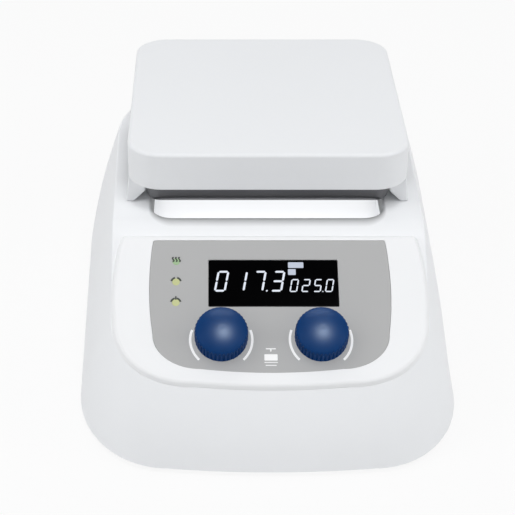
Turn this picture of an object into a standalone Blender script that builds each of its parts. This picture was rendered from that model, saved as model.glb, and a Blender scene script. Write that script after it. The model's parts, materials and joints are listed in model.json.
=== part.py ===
"""Hotplate magnetic stirrer: a skirted housing with a sloping console, a square heating
plate on four supports, and a motor that spins two magnets under the plate.

Metres, +Z up, the front faces -Y, and the origin is on the table under the middle of
the base. Run it with blender --background --python part.py or from the text editor.
"""

import math

import bmesh
import bpy
from mathutils import Matrix, Vector

# Fits between pieces
SEAT_GAP = 0.0003
SIDE_GAP = 0.0003
TRAY_GAP = 0.0005

# Heights
TOTAL_HEIGHT = 0.128
HOUSING_BOTTOM = 0.0025
PLATE_GAP = 0.0158
FOOT_RECESS = 0.001

# Housing outline at the base
BASE_FRONT = -0.135
BASE_REAR = 0.135
BASE_HALF_FRONT = 0.102
BASE_HALF_REAR = 0.1065
BASE_BOW = 0.003
BASE_CORNER_X = 0.049
BASE_CORNER_Y = 0.066
BASE_REAR_CORNER = 0.042

# Housing outline at the top edge
TOP_FRONT = -0.1220
TOP_REAR = 0.121
TOP_HALF_FRONT = 0.0835
TOP_HALF_REAR = 0.0855
TOP_BOW = 0.002
TOP_CORNER_X = 0.040
TOP_CORNER_Y = 0.037
TOP_REAR_CORNER_X = 0.034
TOP_REAR_CORNER_Y = 0.055

HOUSING_WALL = 0.003
SKIRT_BULGE = 0.002
TOP_EDGE_ROUND = 0.0035
CONSOLE_FOLD = -0.036
CONSOLE_SLOPE = math.radians(30)

# Well under the plate
WELL_HALF = 0.061
WELL_FRONT = -0.0264
WELL_REAR = 0.101
WELL_DEPTH = 0.012
WELL_LIP = 0.0065
WELL_CORNER = 0.0065
WELL_WALL = 0.003

# Heating plate and what hangs under it
PLATE_SIDE = 0.150
PLATE_FRONT = -0.029
PLATE_EDGE = 0.0212
PLATE_CORNER = 0.013
PLATE_ROUND = 0.0025
PLATE_SKIN = 0.010
PLATE_WALL = 0.009
PLATE_HOLLOW_CORNER = 0.008
TRAY_DROP = 0.0120
TRAY_LAP = 0.005
TRAY_SHEET = 0.001
TRAY_ROUND = 0.003
TRAY_HOLE = 0.008
HEATER_RADIUS = 0.042
HEATER_TUBE = 0.0032
CLAMP_RADIUS = 0.052
CLAMP_SHEET = 0.0015
PAD_RADIUS = 0.056
PAD_SHEET = 0.0019
PROBE_RADIUS = 0.0025

# Plate supports and bolts
SUPPORT_TOP = 0.0091
SUPPORT_BOTTOM = 0.0043
SUPPORT_KNEE = 0.0064
SUPPORT_FLARE = 0.0017
SUPPORT_LENGTH = 0.020
SUPPORT_FRONT_INSET = 0.0156
SUPPORT_REAR_INSET = 0.026
SUPPORT_ROUND = 0.0010
SUPPORT_BOSS = 0.0034
BOLT_SHANK = 0.00175
BOLT_CLEARANCE = 0.0003
BOLT_HEAD = 0.0032
BOLT_HEAD_HEIGHT = 0.0025
BOLT_REACH = 0.007
BOLT_INSET = 0.0040

# Stirring drive
MOTOR_RADIUS = 0.022
MOTOR_LENGTH = 0.034
MOTOR_BORE = 0.005
MOTOR_PLATE_SIDE = 0.062
MOTOR_PLATE_SHEET = 0.003
MOTOR_SCREW_CIRCLE = 0.0155
MOTOR_SCREW = 0.0015
MOTOR_SCREW_HEAD = 0.0028
MOTOR_SCREW_HEAD_HEIGHT = 0.002
MOTOR_SCREW_GRIP = 0.006
BEARING_RADIUS = 0.008
BEARING_WIDTH = 0.005
SHAFT_RADIUS = 0.003
SHAFT_HOLE = 0.006
HOLDER_LENGTH = 0.060
HOLDER_WIDTH = 0.019
HOLDER_HEIGHT = 0.0085
HOLDER_RUNNING_GAP = 0.0008
MAGNET_RADIUS = 0.007
MAGNET_HEIGHT = 0.006
MAGNET_OFFSET = 0.020

# Console, as depths down its slope and heights over the housing
BEZEL_TOP_EDGE = 0.0090
BEZEL_BOTTOM_EDGE = 0.0953
BEZEL_HALF_TOP = 0.0776
BEZEL_HALF_WIDE = 0.0812
BEZEL_WIDE_AT = 0.046
BEZEL_HALF_LOW = 0.0804
BEZEL_LOW_AT = 0.057
BEZEL_CORNER_X = 0.0416
BEZEL_BOW = 0.0018
BEZEL_POWER = 2.2
BEZEL_SHEET = 0.0024
BEZEL_ROUND = 0.0012
PANEL_TOP_EDGE = 0.0122
PANEL_BOTTOM_EDGE = 0.0876
PANEL_HALF_TOP = 0.0609
PANEL_HALF_WIDE = 0.0624
PANEL_WIDE_AT = 0.039
PANEL_HALF_LOW = 0.0602
PANEL_LOW_AT = 0.0665
PANEL_CORNER_X = 0.0242
PANEL_BOW = 0.0021
PANEL_POWER = 2.0
PANEL_SHEET = 0.0005
PANEL_POCKET = 0.0009
BEZEL_TOP_CORNER = 0.0025
PANEL_TOP_CORNER = 0.0010

WINDOW_WIDTH = 0.0668
WINDOW_LENGTH = 0.0267
WINDOW_SHIFT = 0.0018
WINDOW_AT = 0.0372
WINDOW_CORNER = 0.0006
MODULE_MARGIN = 0.002
BOARD_HALF = 0.053
BOARD_TOP_EDGE = 0.016
BOARD_BOTTOM_EDGE = 0.080
BOARD_SHEET = 0.0016
BOARD_CORNER = 0.002
LAMP_SHIFT = -0.0486
LAMP_FIRST = 0.0247
LAMP_PITCH = 0.0119
LAMP_RADIUS = 0.0016
LAMP_PROUD = 0.0003

# Knobs and encoders
KNOB_SHIFT = 0.0253
KNOB_AT = 0.0694
KNOB_RADIUS = 0.0136
KNOB_HEIGHT = 0.0140
KNOB_RIBS = 40
KNOB_RIB_DEPTH = 0.0005
KNOB_SHOULDER = 0.00345
KNOB_CROWN = 0.022
KNOB_RECESS = 0.0085
KNOB_RECESS_DEPTH = 0.0055
KNOB_PRESS = 0.001
KNOB_LIFT = 0.0016
KNOB_ROOF = 0.0019
SPINDLE_RADIUS = 0.0027
SPINDLE_FLAT = 0.0018
BUSH_RADIUS = 0.0035
BUSH_PROUD = 0.0029
NUT_RADIUS = 0.0062
NUT_HEIGHT = 0.002
ENCODER_SIDE = 0.013
ENCODER_HEIGHT = 0.0065
ENCODER_ROOF = 0.0015
ROTOR_RADIUS = 0.005
ROTOR_GAP = 0.0003
ROTOR_PLAY = 0.0006

# Base plate, feet and main board
BASE_SHEET = 0.0025
BASE_FIT = 0.0005
FOOT_RADIUS = 0.008
FOOT_SCREW_RECESS = 0.0035
BASE_SCREW = 0.0014
BASE_SCREW_HEAD = 0.003
BASE_SCREW_HEAD_HEIGHT = 0.0014
BASE_SCREW_SIDE = 0.00035
BASE_SCREW_REACH = 0.012
BOSS_RADIUS = 0.005
BOSS_FRONT_INSET = (0.032, 0.049)
BOSS_REAR_INSET = (0.0265, 0.027)
POST_RADIUS = 0.003
POST_HEIGHT = 0.008
MAIN_BOARD_WIDTH = 0.110
MAIN_BOARD_LENGTH = 0.066
MAIN_BOARD_Y = -0.042
MAIN_BOARD_SHEET = 0.0016
POST_INSET = 0.006
TRANSFORMER_SIZE = (0.038, 0.032, 0.026)
TRANSFORMER_PLACE = (-0.026, -0.046)
SINK_SIZE = (0.036, 0.016, 0.022)
SINK_PLACE = (0.030, -0.034)
SINK_FOOT = 0.004
SINK_FINS = 5
SINK_FIN = 0.002
VENT_WIDTH = 0.003
VENT_LENGTH = 0.022
VENT_PITCH = 0.008
VENTS_EACH_SIDE = 4
VENT_FIRST = 0.032
VENT_RISE = 0.012
BASE_SLOT_LENGTH = 0.044
BASE_SLOT_PITCH = 0.010
BASE_SLOTS = 6
BASE_SLOT_Y = 0.050

# Power entry on the rear wall
ENTRY_SHARE = 0.514
ENTRY_WIDTH = 0.028
ENTRY_LENGTH = 0.058
ENTRY_DEPTH = 0.0165
ENTRY_FLANGE = 0.003
ENTRY_FLANGE_SHEET = 0.0018
ENTRY_CORNER = 0.003
INLET_WIDTH = 0.0240
INLET_LENGTH = 0.0165
INLET_DEPTH = 0.0145
INLET_CHAMFER = 0.005
INLET_AT = -0.017
PIN_WIDTH = 0.002
PIN_LENGTH = 0.004
PIN_HEIGHT = 0.010
PIN_PITCH = 0.007
PIN_STEP = 0.002
DRAWER_WIDTH = 0.021
DRAWER_LENGTH = 0.007
DRAWER_DEPTH = 0.0155
DRAWER_AT = 0.0005
DRAWER_LIP = 0.0015
DRAWER_POCKET_WIDTH = 0.017
DRAWER_POCKET_LENGTH = 0.0045
DRAWER_POCKET_DEPTH = 0.010
ROCKER_WIDTH = 0.020
ROCKER_HALF = 0.0065
ROCKER_RISE = 0.0034
ROCKER_DIP = 0.0016
ROCKER_BELLY = 0.0052
ROCKER_AT = 0.0175
ROCKER_PIVOT = -0.0012
ROCKER_TILT = math.radians(-10)
ROCKER_WELL = 0.012

# Levels that follow from the sizes above
PLATE_BOTTOM = TOTAL_HEIGHT - PLATE_EDGE
DECK_HEIGHT = PLATE_BOTTOM - PLATE_GAP
PLATE_CEILING = TOTAL_HEIGHT - PLATE_SKIN
PLATE_MIDDLE = PLATE_FRONT + PLATE_SIDE / 2
HOLLOW_HALF = PLATE_SIDE / 2 - PLATE_WALL
WELL_FLOOR = DECK_HEIGHT - WELL_DEPTH
WELL_UNDERSIDE = WELL_FLOOR - WELL_WALL
ENTRY_RISE = HOUSING_BOTTOM + (DECK_HEIGHT - HOUSING_BOTTOM) * ENTRY_SHARE
BASE_TOP = HOUSING_BOTTOM + FOOT_RECESS + BASE_SHEET
BEZEL_TOP = SEAT_GAP + BEZEL_SHEET
PANEL_BOTTOM = BEZEL_TOP - PANEL_POCKET + SEAT_GAP
PANEL_TOP = PANEL_BOTTOM + PANEL_SHEET
ENCODER_TOP = -HOUSING_WALL - SEAT_GAP
BOARD_TOP = ENCODER_TOP - ENCODER_HEIGHT - SEAT_GAP
KNOB_BOTTOM = PANEL_TOP + KNOB_LIFT
REAR_LEAN = math.atan2(BASE_REAR - TOP_REAR, DECK_HEIGHT - HOUSING_BOTTOM)

# Facets
ROUND = 24
SMALL_ROUND = 16
CORNER_STEPS = 5
FRONT_STEPS = 4
FRONT_CORNER_STEPS = 10
SIDE_STEPS = 3
REAR_CORNER_STEPS = 7
FOLD_INDEX = FRONT_STEPS + FRONT_CORNER_STEPS + SIDE_STEPS


def clear_scene():
    """Remove what the start-up file holds."""
    for obj in list(bpy.data.objects):
        bpy.data.objects.remove(obj, do_unlink=True)
    for mesh in list(bpy.data.meshes):
        bpy.data.meshes.remove(mesh)


def finish(name, colour, roughness, metallic=0.0):
    """One Principled material."""
    material = bpy.data.materials.new(name)
    material.use_nodes = True
    shader = material.node_tree.nodes["Principled BSDF"]
    shader.inputs["Base Color"].default_value = (*colour, 1.0)
    shader.inputs["Roughness"].default_value = roughness
    shader.inputs["Metallic"].default_value = metallic
    material.diffuse_color = (*colour, 1.0)
    return material


def frame(name, matrix, parent=None):
    """An empty that carries the pieces of one place or one joint."""
    empty = bpy.data.objects.new(name, None)
    empty.empty_display_size = 0.01
    bpy.context.scene.collection.objects.link(empty)
    empty.parent = parent
    empty.matrix_local = matrix
    return empty


def piece(name, shape, material, parent=None):
    """A named solid made of a bmesh, in its parent's frame."""
    bmesh.ops.recalc_face_normals(shape, faces=shape.faces)
    mesh = bpy.data.meshes.new(name)
    shape.to_mesh(mesh)
    shape.free()
    if material is not None:
        mesh.materials.append(material)
    mesh.shade_smooth()
    mesh.set_sharp_from_angle(angle=math.radians(35))
    obj = bpy.data.objects.new(name, mesh)
    bpy.context.scene.collection.objects.link(obj)
    obj.parent = parent
    return obj


def helper(name, shape, parent=None):
    """A solid that only shapes others."""
    obj = piece(name, shape, None, parent)
    obj.hide_render = True
    obj.display_type = "WIRE"
    return obj


def combine(target, shape, operation="DIFFERENCE", parent=None):
    """Cut a shape from a piece, or join it on, by a Boolean modifier."""
    tool = helper(f"{target.name}_{operation.lower()}_{len(target.modifiers)}", shape, parent)
    modifier = target.modifiers.new(operation.title(), "BOOLEAN")
    modifier.operation = operation
    modifier.solver = "EXACT"
    modifier.object = tool
    return tool


def loft(loops, closed=False):
    """A skin over loops of equal length, capped at both ends or closed into a ring."""
    shape = bmesh.new()
    rings = []
    for loop in loops:
        rings.append([shape.verts.new(point) for point in loop])
    pairs = list(zip(rings, rings[1:]))
    if closed:
        pairs.append((rings[-1], rings[0]))
    else:
        shape.faces.new(rings[0][::-1])
        shape.faces.new(rings[-1])
    for lower, upper in pairs:
        count = len(lower)
        for i in range(count):
            j = (i + 1) % count
            shape.faces.new((lower[i], lower[j], upper[j], upper[i]))
    return shape


def merged(shapes):
    """Several separate shapes in one bmesh."""
    whole = bmesh.new()
    for shape in shapes:
        mesh = bpy.data.meshes.new("part")
        bmesh.ops.recalc_face_normals(shape, faces=shape.faces)
        shape.to_mesh(mesh)
        shape.free()
        whole.from_mesh(mesh)
        bpy.data.meshes.remove(mesh)
    return whole


def circle(radius, z, count=ROUND, x=0.0, y=0.0):
    """A ring of points about a vertical line."""
    angles = [2 * math.pi * i / count for i in range(count)]
    return [(x + radius * math.cos(a), y + radius * math.sin(a), z) for a in angles]


def turned(profile, count=ROUND, x=0.0, y=0.0, closed=False):
    """A solid of revolution from (radius, height) pairs."""
    return loft([circle(r, z, count, x, y) for r, z in profile], closed)


def rod(radius, low, high, count=SMALL_ROUND, x=0.0, y=0.0):
    """A plain round rod."""
    return turned([(radius, low), (radius, high)], count, x, y)


def tube(inner, outer, low, high, count=ROUND):
    """A plain ring."""
    return turned([(inner, low), (outer, low), (outer, high), (inner, high)], count, closed=True)


def rectangle(half_x, half_y, corner, z, x=0.0, y=0.0, steps=CORNER_STEPS):
    """A rounded rectangle, anticlockwise."""
    points = []
    centres = ((1, -1, -90), (1, 1, 0), (-1, 1, 90), (-1, -1, 180))
    for side_x, side_y, start in centres:
        for i in range(steps + 1):
            angle = math.radians(start + 90 * i / steps)
            points.append((
                x + side_x * (half_x - corner) + corner * math.cos(angle),
                y + side_y * (half_y - corner) + corner * math.sin(angle),
                z,
            ))
    return points


def box(width, length, low, high, x=0.0, y=0.0):
    """A block with its middle at (x, y)."""
    corners = ((1, -1), (1, 1), (-1, 1), (-1, -1))
    loops = []
    for z in (low, high):
        loops.append([(x + sx * width / 2, y + sy * length / 2, z) for sx, sy in corners])
    return loft(loops)


def slab(half_x, half_y, corner, low, high, x=0.0, y=0.0):
    """A block with rounded upright edges."""
    return loft([rectangle(half_x, half_y, corner, z, x, y) for z in (low, high)])


def flatted(radius, flat, z, count=ROUND):
    """A round outline with one flat, as on a D shaft."""
    return [(min(px, flat), py, pz) for px, py, pz in circle(radius, z, count)]


def mirrored(half):
    """A whole loop from its right half, which starts and ends on the middle line."""
    return half + [(-x, y) for x, y in half[-2:0:-1]]


def arc(centre_x, centre_y, radius_x, radius_y, start, end, steps):
    """Points of an elliptic arc, both ends included."""
    points = []
    for i in range(steps + 1):
        angle = math.radians(start + (end - start) * i / steps)
        points.append((centre_x + radius_x * math.cos(angle), centre_y + radius_y * math.sin(angle)))
    return points


def housing_outline(front, rear, half_front, half_rear, bow, corner, rear_corner, fold, inset):
    """Plan of the housing at one level: bowed front, elliptic corners, flared sides."""
    corner_x, corner_y = corner[0] - inset, corner[1] - inset
    start_x, start_y = half_front - corner[0], front + bow + corner[1]
    half = []
    for i in range(FRONT_STEPS):
        share = i / FRONT_STEPS
        half.append((start_x * share, front + inset + bow * share ** 2))
    half += arc(start_x, start_y, corner_x, corner_y, -90, 0, FRONT_CORNER_STEPS)
    end_y = rear - rear_corner[1]
    widen = (half_rear - half_front) / (end_y - start_y)
    for low, high in ((start_y, fold), (fold, end_y)):
        for i in range(1, SIDE_STEPS + 1):
            y = low + (high - low) * i / SIDE_STEPS
            half.append((half_front - inset + widen * (y - start_y), y))
    turn_x, turn_y = rear_corner[0] - inset, rear_corner[1] - inset
    half += arc(half_rear - rear_corner[0], end_y, turn_x, turn_y, 0, 90, REAR_CORNER_STEPS)[1:]
    half.append((0.0, rear - inset))
    return mirrored(half)


def base_outline(fold, inset=0.0):
    return housing_outline(
        BASE_FRONT, BASE_REAR, BASE_HALF_FRONT, BASE_HALF_REAR, BASE_BOW,
        (BASE_CORNER_X, BASE_CORNER_Y), (BASE_REAR_CORNER, BASE_REAR_CORNER), fold, inset,
    )


def top_outline(fold, inset=0.0):
    return housing_outline(
        TOP_FRONT, TOP_REAR, TOP_HALF_FRONT, TOP_HALF_REAR, TOP_BOW,
        (TOP_CORNER_X, TOP_CORNER_Y), (TOP_REAR_CORNER_X, TOP_REAR_CORNER_Y), fold, inset,
    )


def roof_height(y, deck, fold):
    """Height of the top surface: the flat deck, then the console's slope."""
    return deck + min(0.0, y - fold) * math.tan(CONSOLE_SLOPE)


def hollow_fold():
    """Where the inside of the roof turns from deck to slope."""
    return CONSOLE_FOLD + HOUSING_WALL * math.tan(CONSOLE_SLOPE / 2)


def hollow_outline(z, fit):
    """A level loop inside the housing's drafted wall, clear of it by the fit."""
    fold = hollow_fold()
    loop = []
    inset = HOUSING_WALL + fit
    for (x, y), (top_x, top_y) in zip(base_outline(fold, inset), top_outline(fold, inset)):
        roof = roof_height(top_y, DECK_HEIGHT - HOUSING_WALL, fold)
        share = (z - HOUSING_BOTTOM) / (roof - HOUSING_BOTTOM)
        loop.append((x + (top_x - x) * share, y + (top_y - y) * share, z))
    return loop


def bulged(low, high, share):
    """A point of the skirt between its lower and upper edge, swelling outwards but at the rear."""
    point = Vector(low).lerp(Vector(high), share)
    away = Vector((low[0], min(0.0, low[1] - TOP_REAR / 2), 0.0))
    if away.length > 0 and low[1] < TOP_REAR:
        point += away.normalized() * SKIRT_BULGE * math.sin(math.pi * share)
    return point


def housing_skin(inset, deck, fold, bottom, rounded):
    """A closed body with the housing's outer form, inset for its hollow."""
    base = [(x, y, HOUSING_BOTTOM) for x, y in base_outline(fold, inset)]
    top = [(x, y, roof_height(y, deck, fold)) for x, y in top_outline(fold, inset)]
    rings = [[(x, y, bottom) for x, y, _ in base]]
    if bottom != HOUSING_BOTTOM:
        rings.append(base)
    last = 1.0
    if rounded:
        last = 1.0 - rounded / (deck - HOUSING_BOTTOM)
    for share in (0.3, 0.6, last):
        rings.append([bulged(a, b, share) for a, b in zip(base, top)])
    if rounded:
        edge = [(x, y, roof_height(y, deck, fold)) for x, y in top_outline(fold, inset + rounded)]
        for share in (0.3, 0.65, 1.0):
            ring = []
            for a, b, c in zip(rings[4 if bottom != HOUSING_BOTTOM else 3], top, edge):
                first = Vector(a).lerp(Vector(b), share)
                ring.append(first.lerp(Vector(b).lerp(Vector(c), share), share))
            rings.append(ring)
    shape = loft(rings)
    shape.verts.ensure_lookup_table()
    shape.faces.ensure_lookup_table()
    roof = next(f for f in shape.faces if len(f.verts) > 4 and f.calc_center_median().z > deck / 2)
    shape.faces.remove(roof)
    ring = shape.verts[-len(base):]
    right, left = FOLD_INDEX, len(base) - FOLD_INDEX
    shape.faces.new(ring[right:left + 1])
    shape.faces.new(ring[left:] + ring[:right + 1])
    return shape


def pad_outline(top, bottom, half_top, wide, low, corner_x, bow, power, top_corner, inset=0.0):
    """A U-shaped outline on the console, in its frame, whose y runs up the slope."""
    (half_wide, wide_at), (half_low, low_at) = wide, low
    corner_y = bottom - bow - low_at
    start_x = half_low - corner_x
    half = []
    for i in range(3):
        share = i / 3
        half.append((start_x * share, -bottom + inset + bow * share ** 2))
    for i in range(9):
        turn = math.pi / 2 * i / 8
        reach_x, reach_y = math.sin(turn) ** (2 / power), math.cos(turn) ** (2 / power)
        half.append((start_x + (corner_x - inset) * reach_x, -low_at - (corner_y - inset) * reach_y))
    for level, edge, narrow in ((wide_at, low_at, half_low), ((wide_at + top) / 2, top, half_top)):
        away = (level - wide_at) / (edge - wide_at)
        half.append((half_wide + (narrow - half_wide) * away ** 2 - inset, -level))
    reach = top_corner - inset
    half += arc(half_top - top_corner, -top - top_corner, reach, reach, 0, 90, 3)
    half.append((0.0, -top - inset))
    return mirrored(half)


def bezel_outline(inset=0.0):
    return pad_outline(
        BEZEL_TOP_EDGE, BEZEL_BOTTOM_EDGE, BEZEL_HALF_TOP, (BEZEL_HALF_WIDE, BEZEL_WIDE_AT),
        (BEZEL_HALF_LOW, BEZEL_LOW_AT), BEZEL_CORNER_X, BEZEL_BOW, BEZEL_POWER,
        BEZEL_TOP_CORNER, inset,
    )


def panel_outline(inset=0.0):
    return pad_outline(
        PANEL_TOP_EDGE, PANEL_BOTTOM_EDGE, PANEL_HALF_TOP, (PANEL_HALF_WIDE, PANEL_WIDE_AT),
        (PANEL_HALF_LOW, PANEL_LOW_AT), PANEL_CORNER_X, PANEL_BOW, PANEL_POWER,
        PANEL_TOP_CORNER, inset,
    )


def at_height(outline, z):
    return [(x, y, z) for x, y in outline]


def console_openings(low, high, window_gap):
    """Cutters for the window, the lamps and the encoder bushes, through one console piece."""
    shapes = [slab(
        WINDOW_WIDTH / 2 + window_gap, WINDOW_LENGTH / 2 + window_gap, WINDOW_CORNER, low, high,
        WINDOW_SHIFT, -WINDOW_AT,
    )]
    for i in range(3):
        y = -LAMP_FIRST - LAMP_PITCH * i
        shapes.append(rod(LAMP_RADIUS + SIDE_GAP, low, high, SMALL_ROUND, LAMP_SHIFT, y))
    for side in (-1, 1):
        shapes.append(rod(BUSH_RADIUS + SIDE_GAP, low, high, SMALL_ROUND, side * KNOB_SHIFT, -KNOB_AT))
    return merged(shapes)


def boss_places():
    places = []
    for side in (-1, 1):
        x, y = BOSS_FRONT_INSET
        places.append((side * (BASE_HALF_FRONT - x), BASE_FRONT + y))
        x, y = BOSS_REAR_INSET
        places.append((side * (BASE_HALF_REAR - x), BASE_REAR - y))
    return places


def support_places():
    """Middle of each plate support: (x side, y), with its name."""
    front = PLATE_FRONT + SUPPORT_FRONT_INSET + SUPPORT_LENGTH / 2
    rear = PLATE_FRONT + PLATE_SIDE - SUPPORT_REAR_INSET - SUPPORT_LENGTH / 2
    named = []
    for row, y in (("front", front), ("rear", rear)):
        for column, side in (("left", -1), ("right", 1)):
            named.append((f"{row}_{column}", side, y))
    return named


def bolt_x():
    return PLATE_SIDE / 2 - BOLT_INSET


def motor_screw_places():
    reach = MOTOR_SCREW_CIRCLE / math.sqrt(2)
    return [(sx * reach, PLATE_MIDDLE + sy * reach) for sx in (-1, 1) for sy in (-1, 1)]


def make_housing(white, console, rear):
    """The skirted casing: outer form, hollow with screw bosses and well, and its openings."""
    skin = housing_skin(0.0, DECK_HEIGHT, CONSOLE_FOLD, HOUSING_BOTTOM, TOP_EDGE_ROUND)
    housing = piece("upper_housing", skin, white)
    hollow = combine(housing, housing_skin(
        HOUSING_WALL, DECK_HEIGHT - HOUSING_WALL, hollow_fold(), HOUSING_BOTTOM - 0.01, 0.0,
    ))
    bosses = []
    for x, y in boss_places():
        bosses.append(rod(BOSS_RADIUS, BASE_TOP + SEAT_GAP, DECK_HEIGHT, SMALL_ROUND, x, y))
    middle = (WELL_FRONT + WELL_REAR) / 2
    length = (WELL_REAR - WELL_FRONT) / 2
    block = slab(
        WELL_HALF + WELL_WALL, length + WELL_WALL, WELL_CORNER + WELL_WALL,
        WELL_UNDERSIDE, DECK_HEIGHT + WELL_DEPTH, 0.0, middle,
    )
    combine(hollow, merged(bosses))
    combine(hollow, block)
    loops = [rectangle(WELL_HALF, length, WELL_CORNER, WELL_FLOOR, 0.0, middle)]
    for angle in (90, 60, 30, 0):
        spread = WELL_LIP * (1 - math.sin(math.radians(angle)))
        level = DECK_HEIGHT - WELL_LIP * (1 - math.cos(math.radians(angle)))
        loops.append(rectangle(
            WELL_HALF + spread, length + spread, WELL_CORNER + spread, level, 0.0, middle,
        ))
    loops.append([(x, y, DECK_HEIGHT + WELL_LIP) for x, y, _ in loops[-1]])
    combine(housing, loft(loops))
    low, high = -HOUSING_WALL * 2, HOUSING_WALL
    combine(housing, console_openings(low, high, MODULE_MARGIN + SIDE_GAP), parent=console)
    low, high = WELL_UNDERSIDE - WELL_WALL, WELL_FLOOR + WELL_WALL
    holes = [rod(SHAFT_HOLE, low, high, SMALL_ROUND, 0.0, PLATE_MIDDLE)]
    for x, y in motor_screw_places():
        holes.append(rod(MOTOR_SCREW + BOLT_CLEARANCE, low, high, SMALL_ROUND, x, y))
    for _, side, y in support_places():
        holes.append(rod(
            BOLT_SHANK + BOLT_CLEARANCE, DECK_HEIGHT - HOUSING_WALL * 2, DECK_HEIGHT + HOUSING_WALL,
            SMALL_ROUND, side * bolt_x(), y,
        ))
    for x, y in boss_places():
        holes.append(rod(
            BASE_SCREW + BASE_SCREW_SIDE, HOUSING_BOTTOM, BASE_TOP + BASE_SCREW_REACH + SEAT_GAP * 2,
            SMALL_ROUND, x, y,
        ))
    combine(housing, merged(holes))
    slots = [box(
        ENTRY_WIDTH + 2 * SIDE_GAP, ENTRY_LENGTH + 2 * SIDE_GAP, -HOUSING_WALL * 3, HOUSING_WALL * 2,
    )]
    for side in (-1, 1):
        for i in range(VENTS_EACH_SIDE):
            x = side * (VENT_FIRST + VENT_PITCH * i)
            slots.append(box(VENT_WIDTH, VENT_LENGTH, -HOUSING_WALL * 3, HOUSING_WALL * 2, x, VENT_RISE))
    combine(housing, merged(slots), parent=rear)


def make_console(console, white, grey, black, green, amber, board_green):
    """The raised bezel, its grey sheet, the display, the lamps and the board behind."""
    edge = BEZEL_TOP - BEZEL_ROUND
    loops = [at_height(bezel_outline(), SEAT_GAP), at_height(bezel_outline(), edge)]
    for angle in (40, 90):
        turn = math.radians(angle)
        inset = BEZEL_ROUND * (1 - math.cos(turn))
        loops.append(at_height(bezel_outline(inset), edge + BEZEL_ROUND * math.sin(turn)))
    bezel = piece("console_bezel", loft(loops), white, console)
    floor = BEZEL_TOP - PANEL_POCKET
    pocket = [at_height(panel_outline(-SIDE_GAP), z) for z in (floor, floor + BEZEL_SHEET)]
    combine(bezel, loft(pocket), parent=console)
    combine(bezel, console_openings(-BEZEL_SHEET, BEZEL_TOP + BEZEL_SHEET, SIDE_GAP), parent=console)

    sheet = [at_height(panel_outline(), z) for z in (PANEL_BOTTOM, PANEL_TOP)]
    overlay = piece("panel_overlay", loft(sheet), grey, console)
    combine(overlay, console_openings(-BEZEL_SHEET, BEZEL_TOP + BEZEL_SHEET, SIDE_GAP), parent=console)

    piece("display_window", slab(
        WINDOW_WIDTH / 2, WINDOW_LENGTH / 2, WINDOW_CORNER, SEAT_GAP, PANEL_TOP,
        WINDOW_SHIFT, -WINDOW_AT,
    ), black, console)
    piece("display_module", slab(
        WINDOW_WIDTH / 2 + MODULE_MARGIN, WINDOW_LENGTH / 2 + MODULE_MARGIN, WINDOW_CORNER,
        BOARD_TOP + SEAT_GAP, 0.0, WINDOW_SHIFT, -WINDOW_AT,
    ), black, console)
    for i, (name, colour) in enumerate((("heat_lamp", green), ("stir_lamp", amber), ("power_lamp", amber))):
        y = -LAMP_FIRST - LAMP_PITCH * i
        profile = [
            (LAMP_RADIUS, BOARD_TOP + SEAT_GAP),
            (LAMP_RADIUS, PANEL_TOP),
            (LAMP_RADIUS * 0.6, PANEL_TOP + LAMP_PROUD),
        ]
        piece(name, turned(profile, SMALL_ROUND, LAMP_SHIFT, y), colour, console)
    middle = (BOARD_TOP_EDGE + BOARD_BOTTOM_EDGE) / 2
    piece("control_board", slab(
        BOARD_HALF, (BOARD_BOTTOM_EDGE - BOARD_TOP_EDGE) / 2, BOARD_CORNER,
        BOARD_TOP - BOARD_SHEET, BOARD_TOP, 0.0, -middle,
    ), board_green, console)


def ribbed(radius, z):
    """A ring of ribs, each rib one point out and one point in."""
    points = []
    for i in range(KNOB_RIBS * 2):
        angle = math.pi * i / KNOB_RIBS
        reach = radius - KNOB_RIB_DEPTH * (i % 2)
        points.append((reach * math.cos(angle), reach * math.sin(angle), z))
    return points


def crown_profile():
    """Radius and depth below the top of the knob's round shoulder, then of its domed crown."""
    reach = KNOB_RADIUS - KNOB_SHOULDER
    lean = math.asin(reach / (KNOB_CROWN - KNOB_SHOULDER))
    centre = KNOB_CROWN - (KNOB_CROWN - KNOB_SHOULDER) * math.cos(lean)
    profile = []
    for share in (1.0, 0.6, 0.25):
        turn = lean + (math.pi / 2 - lean) * share
        profile.append((reach + KNOB_SHOULDER * math.sin(turn), centre - KNOB_SHOULDER * math.cos(turn)))
    for share in (1.0, 0.6, 0.25):
        turn = lean * share
        profile.append((KNOB_CROWN * math.sin(turn), KNOB_CROWN * (1 - math.cos(turn))))
    return profile


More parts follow.
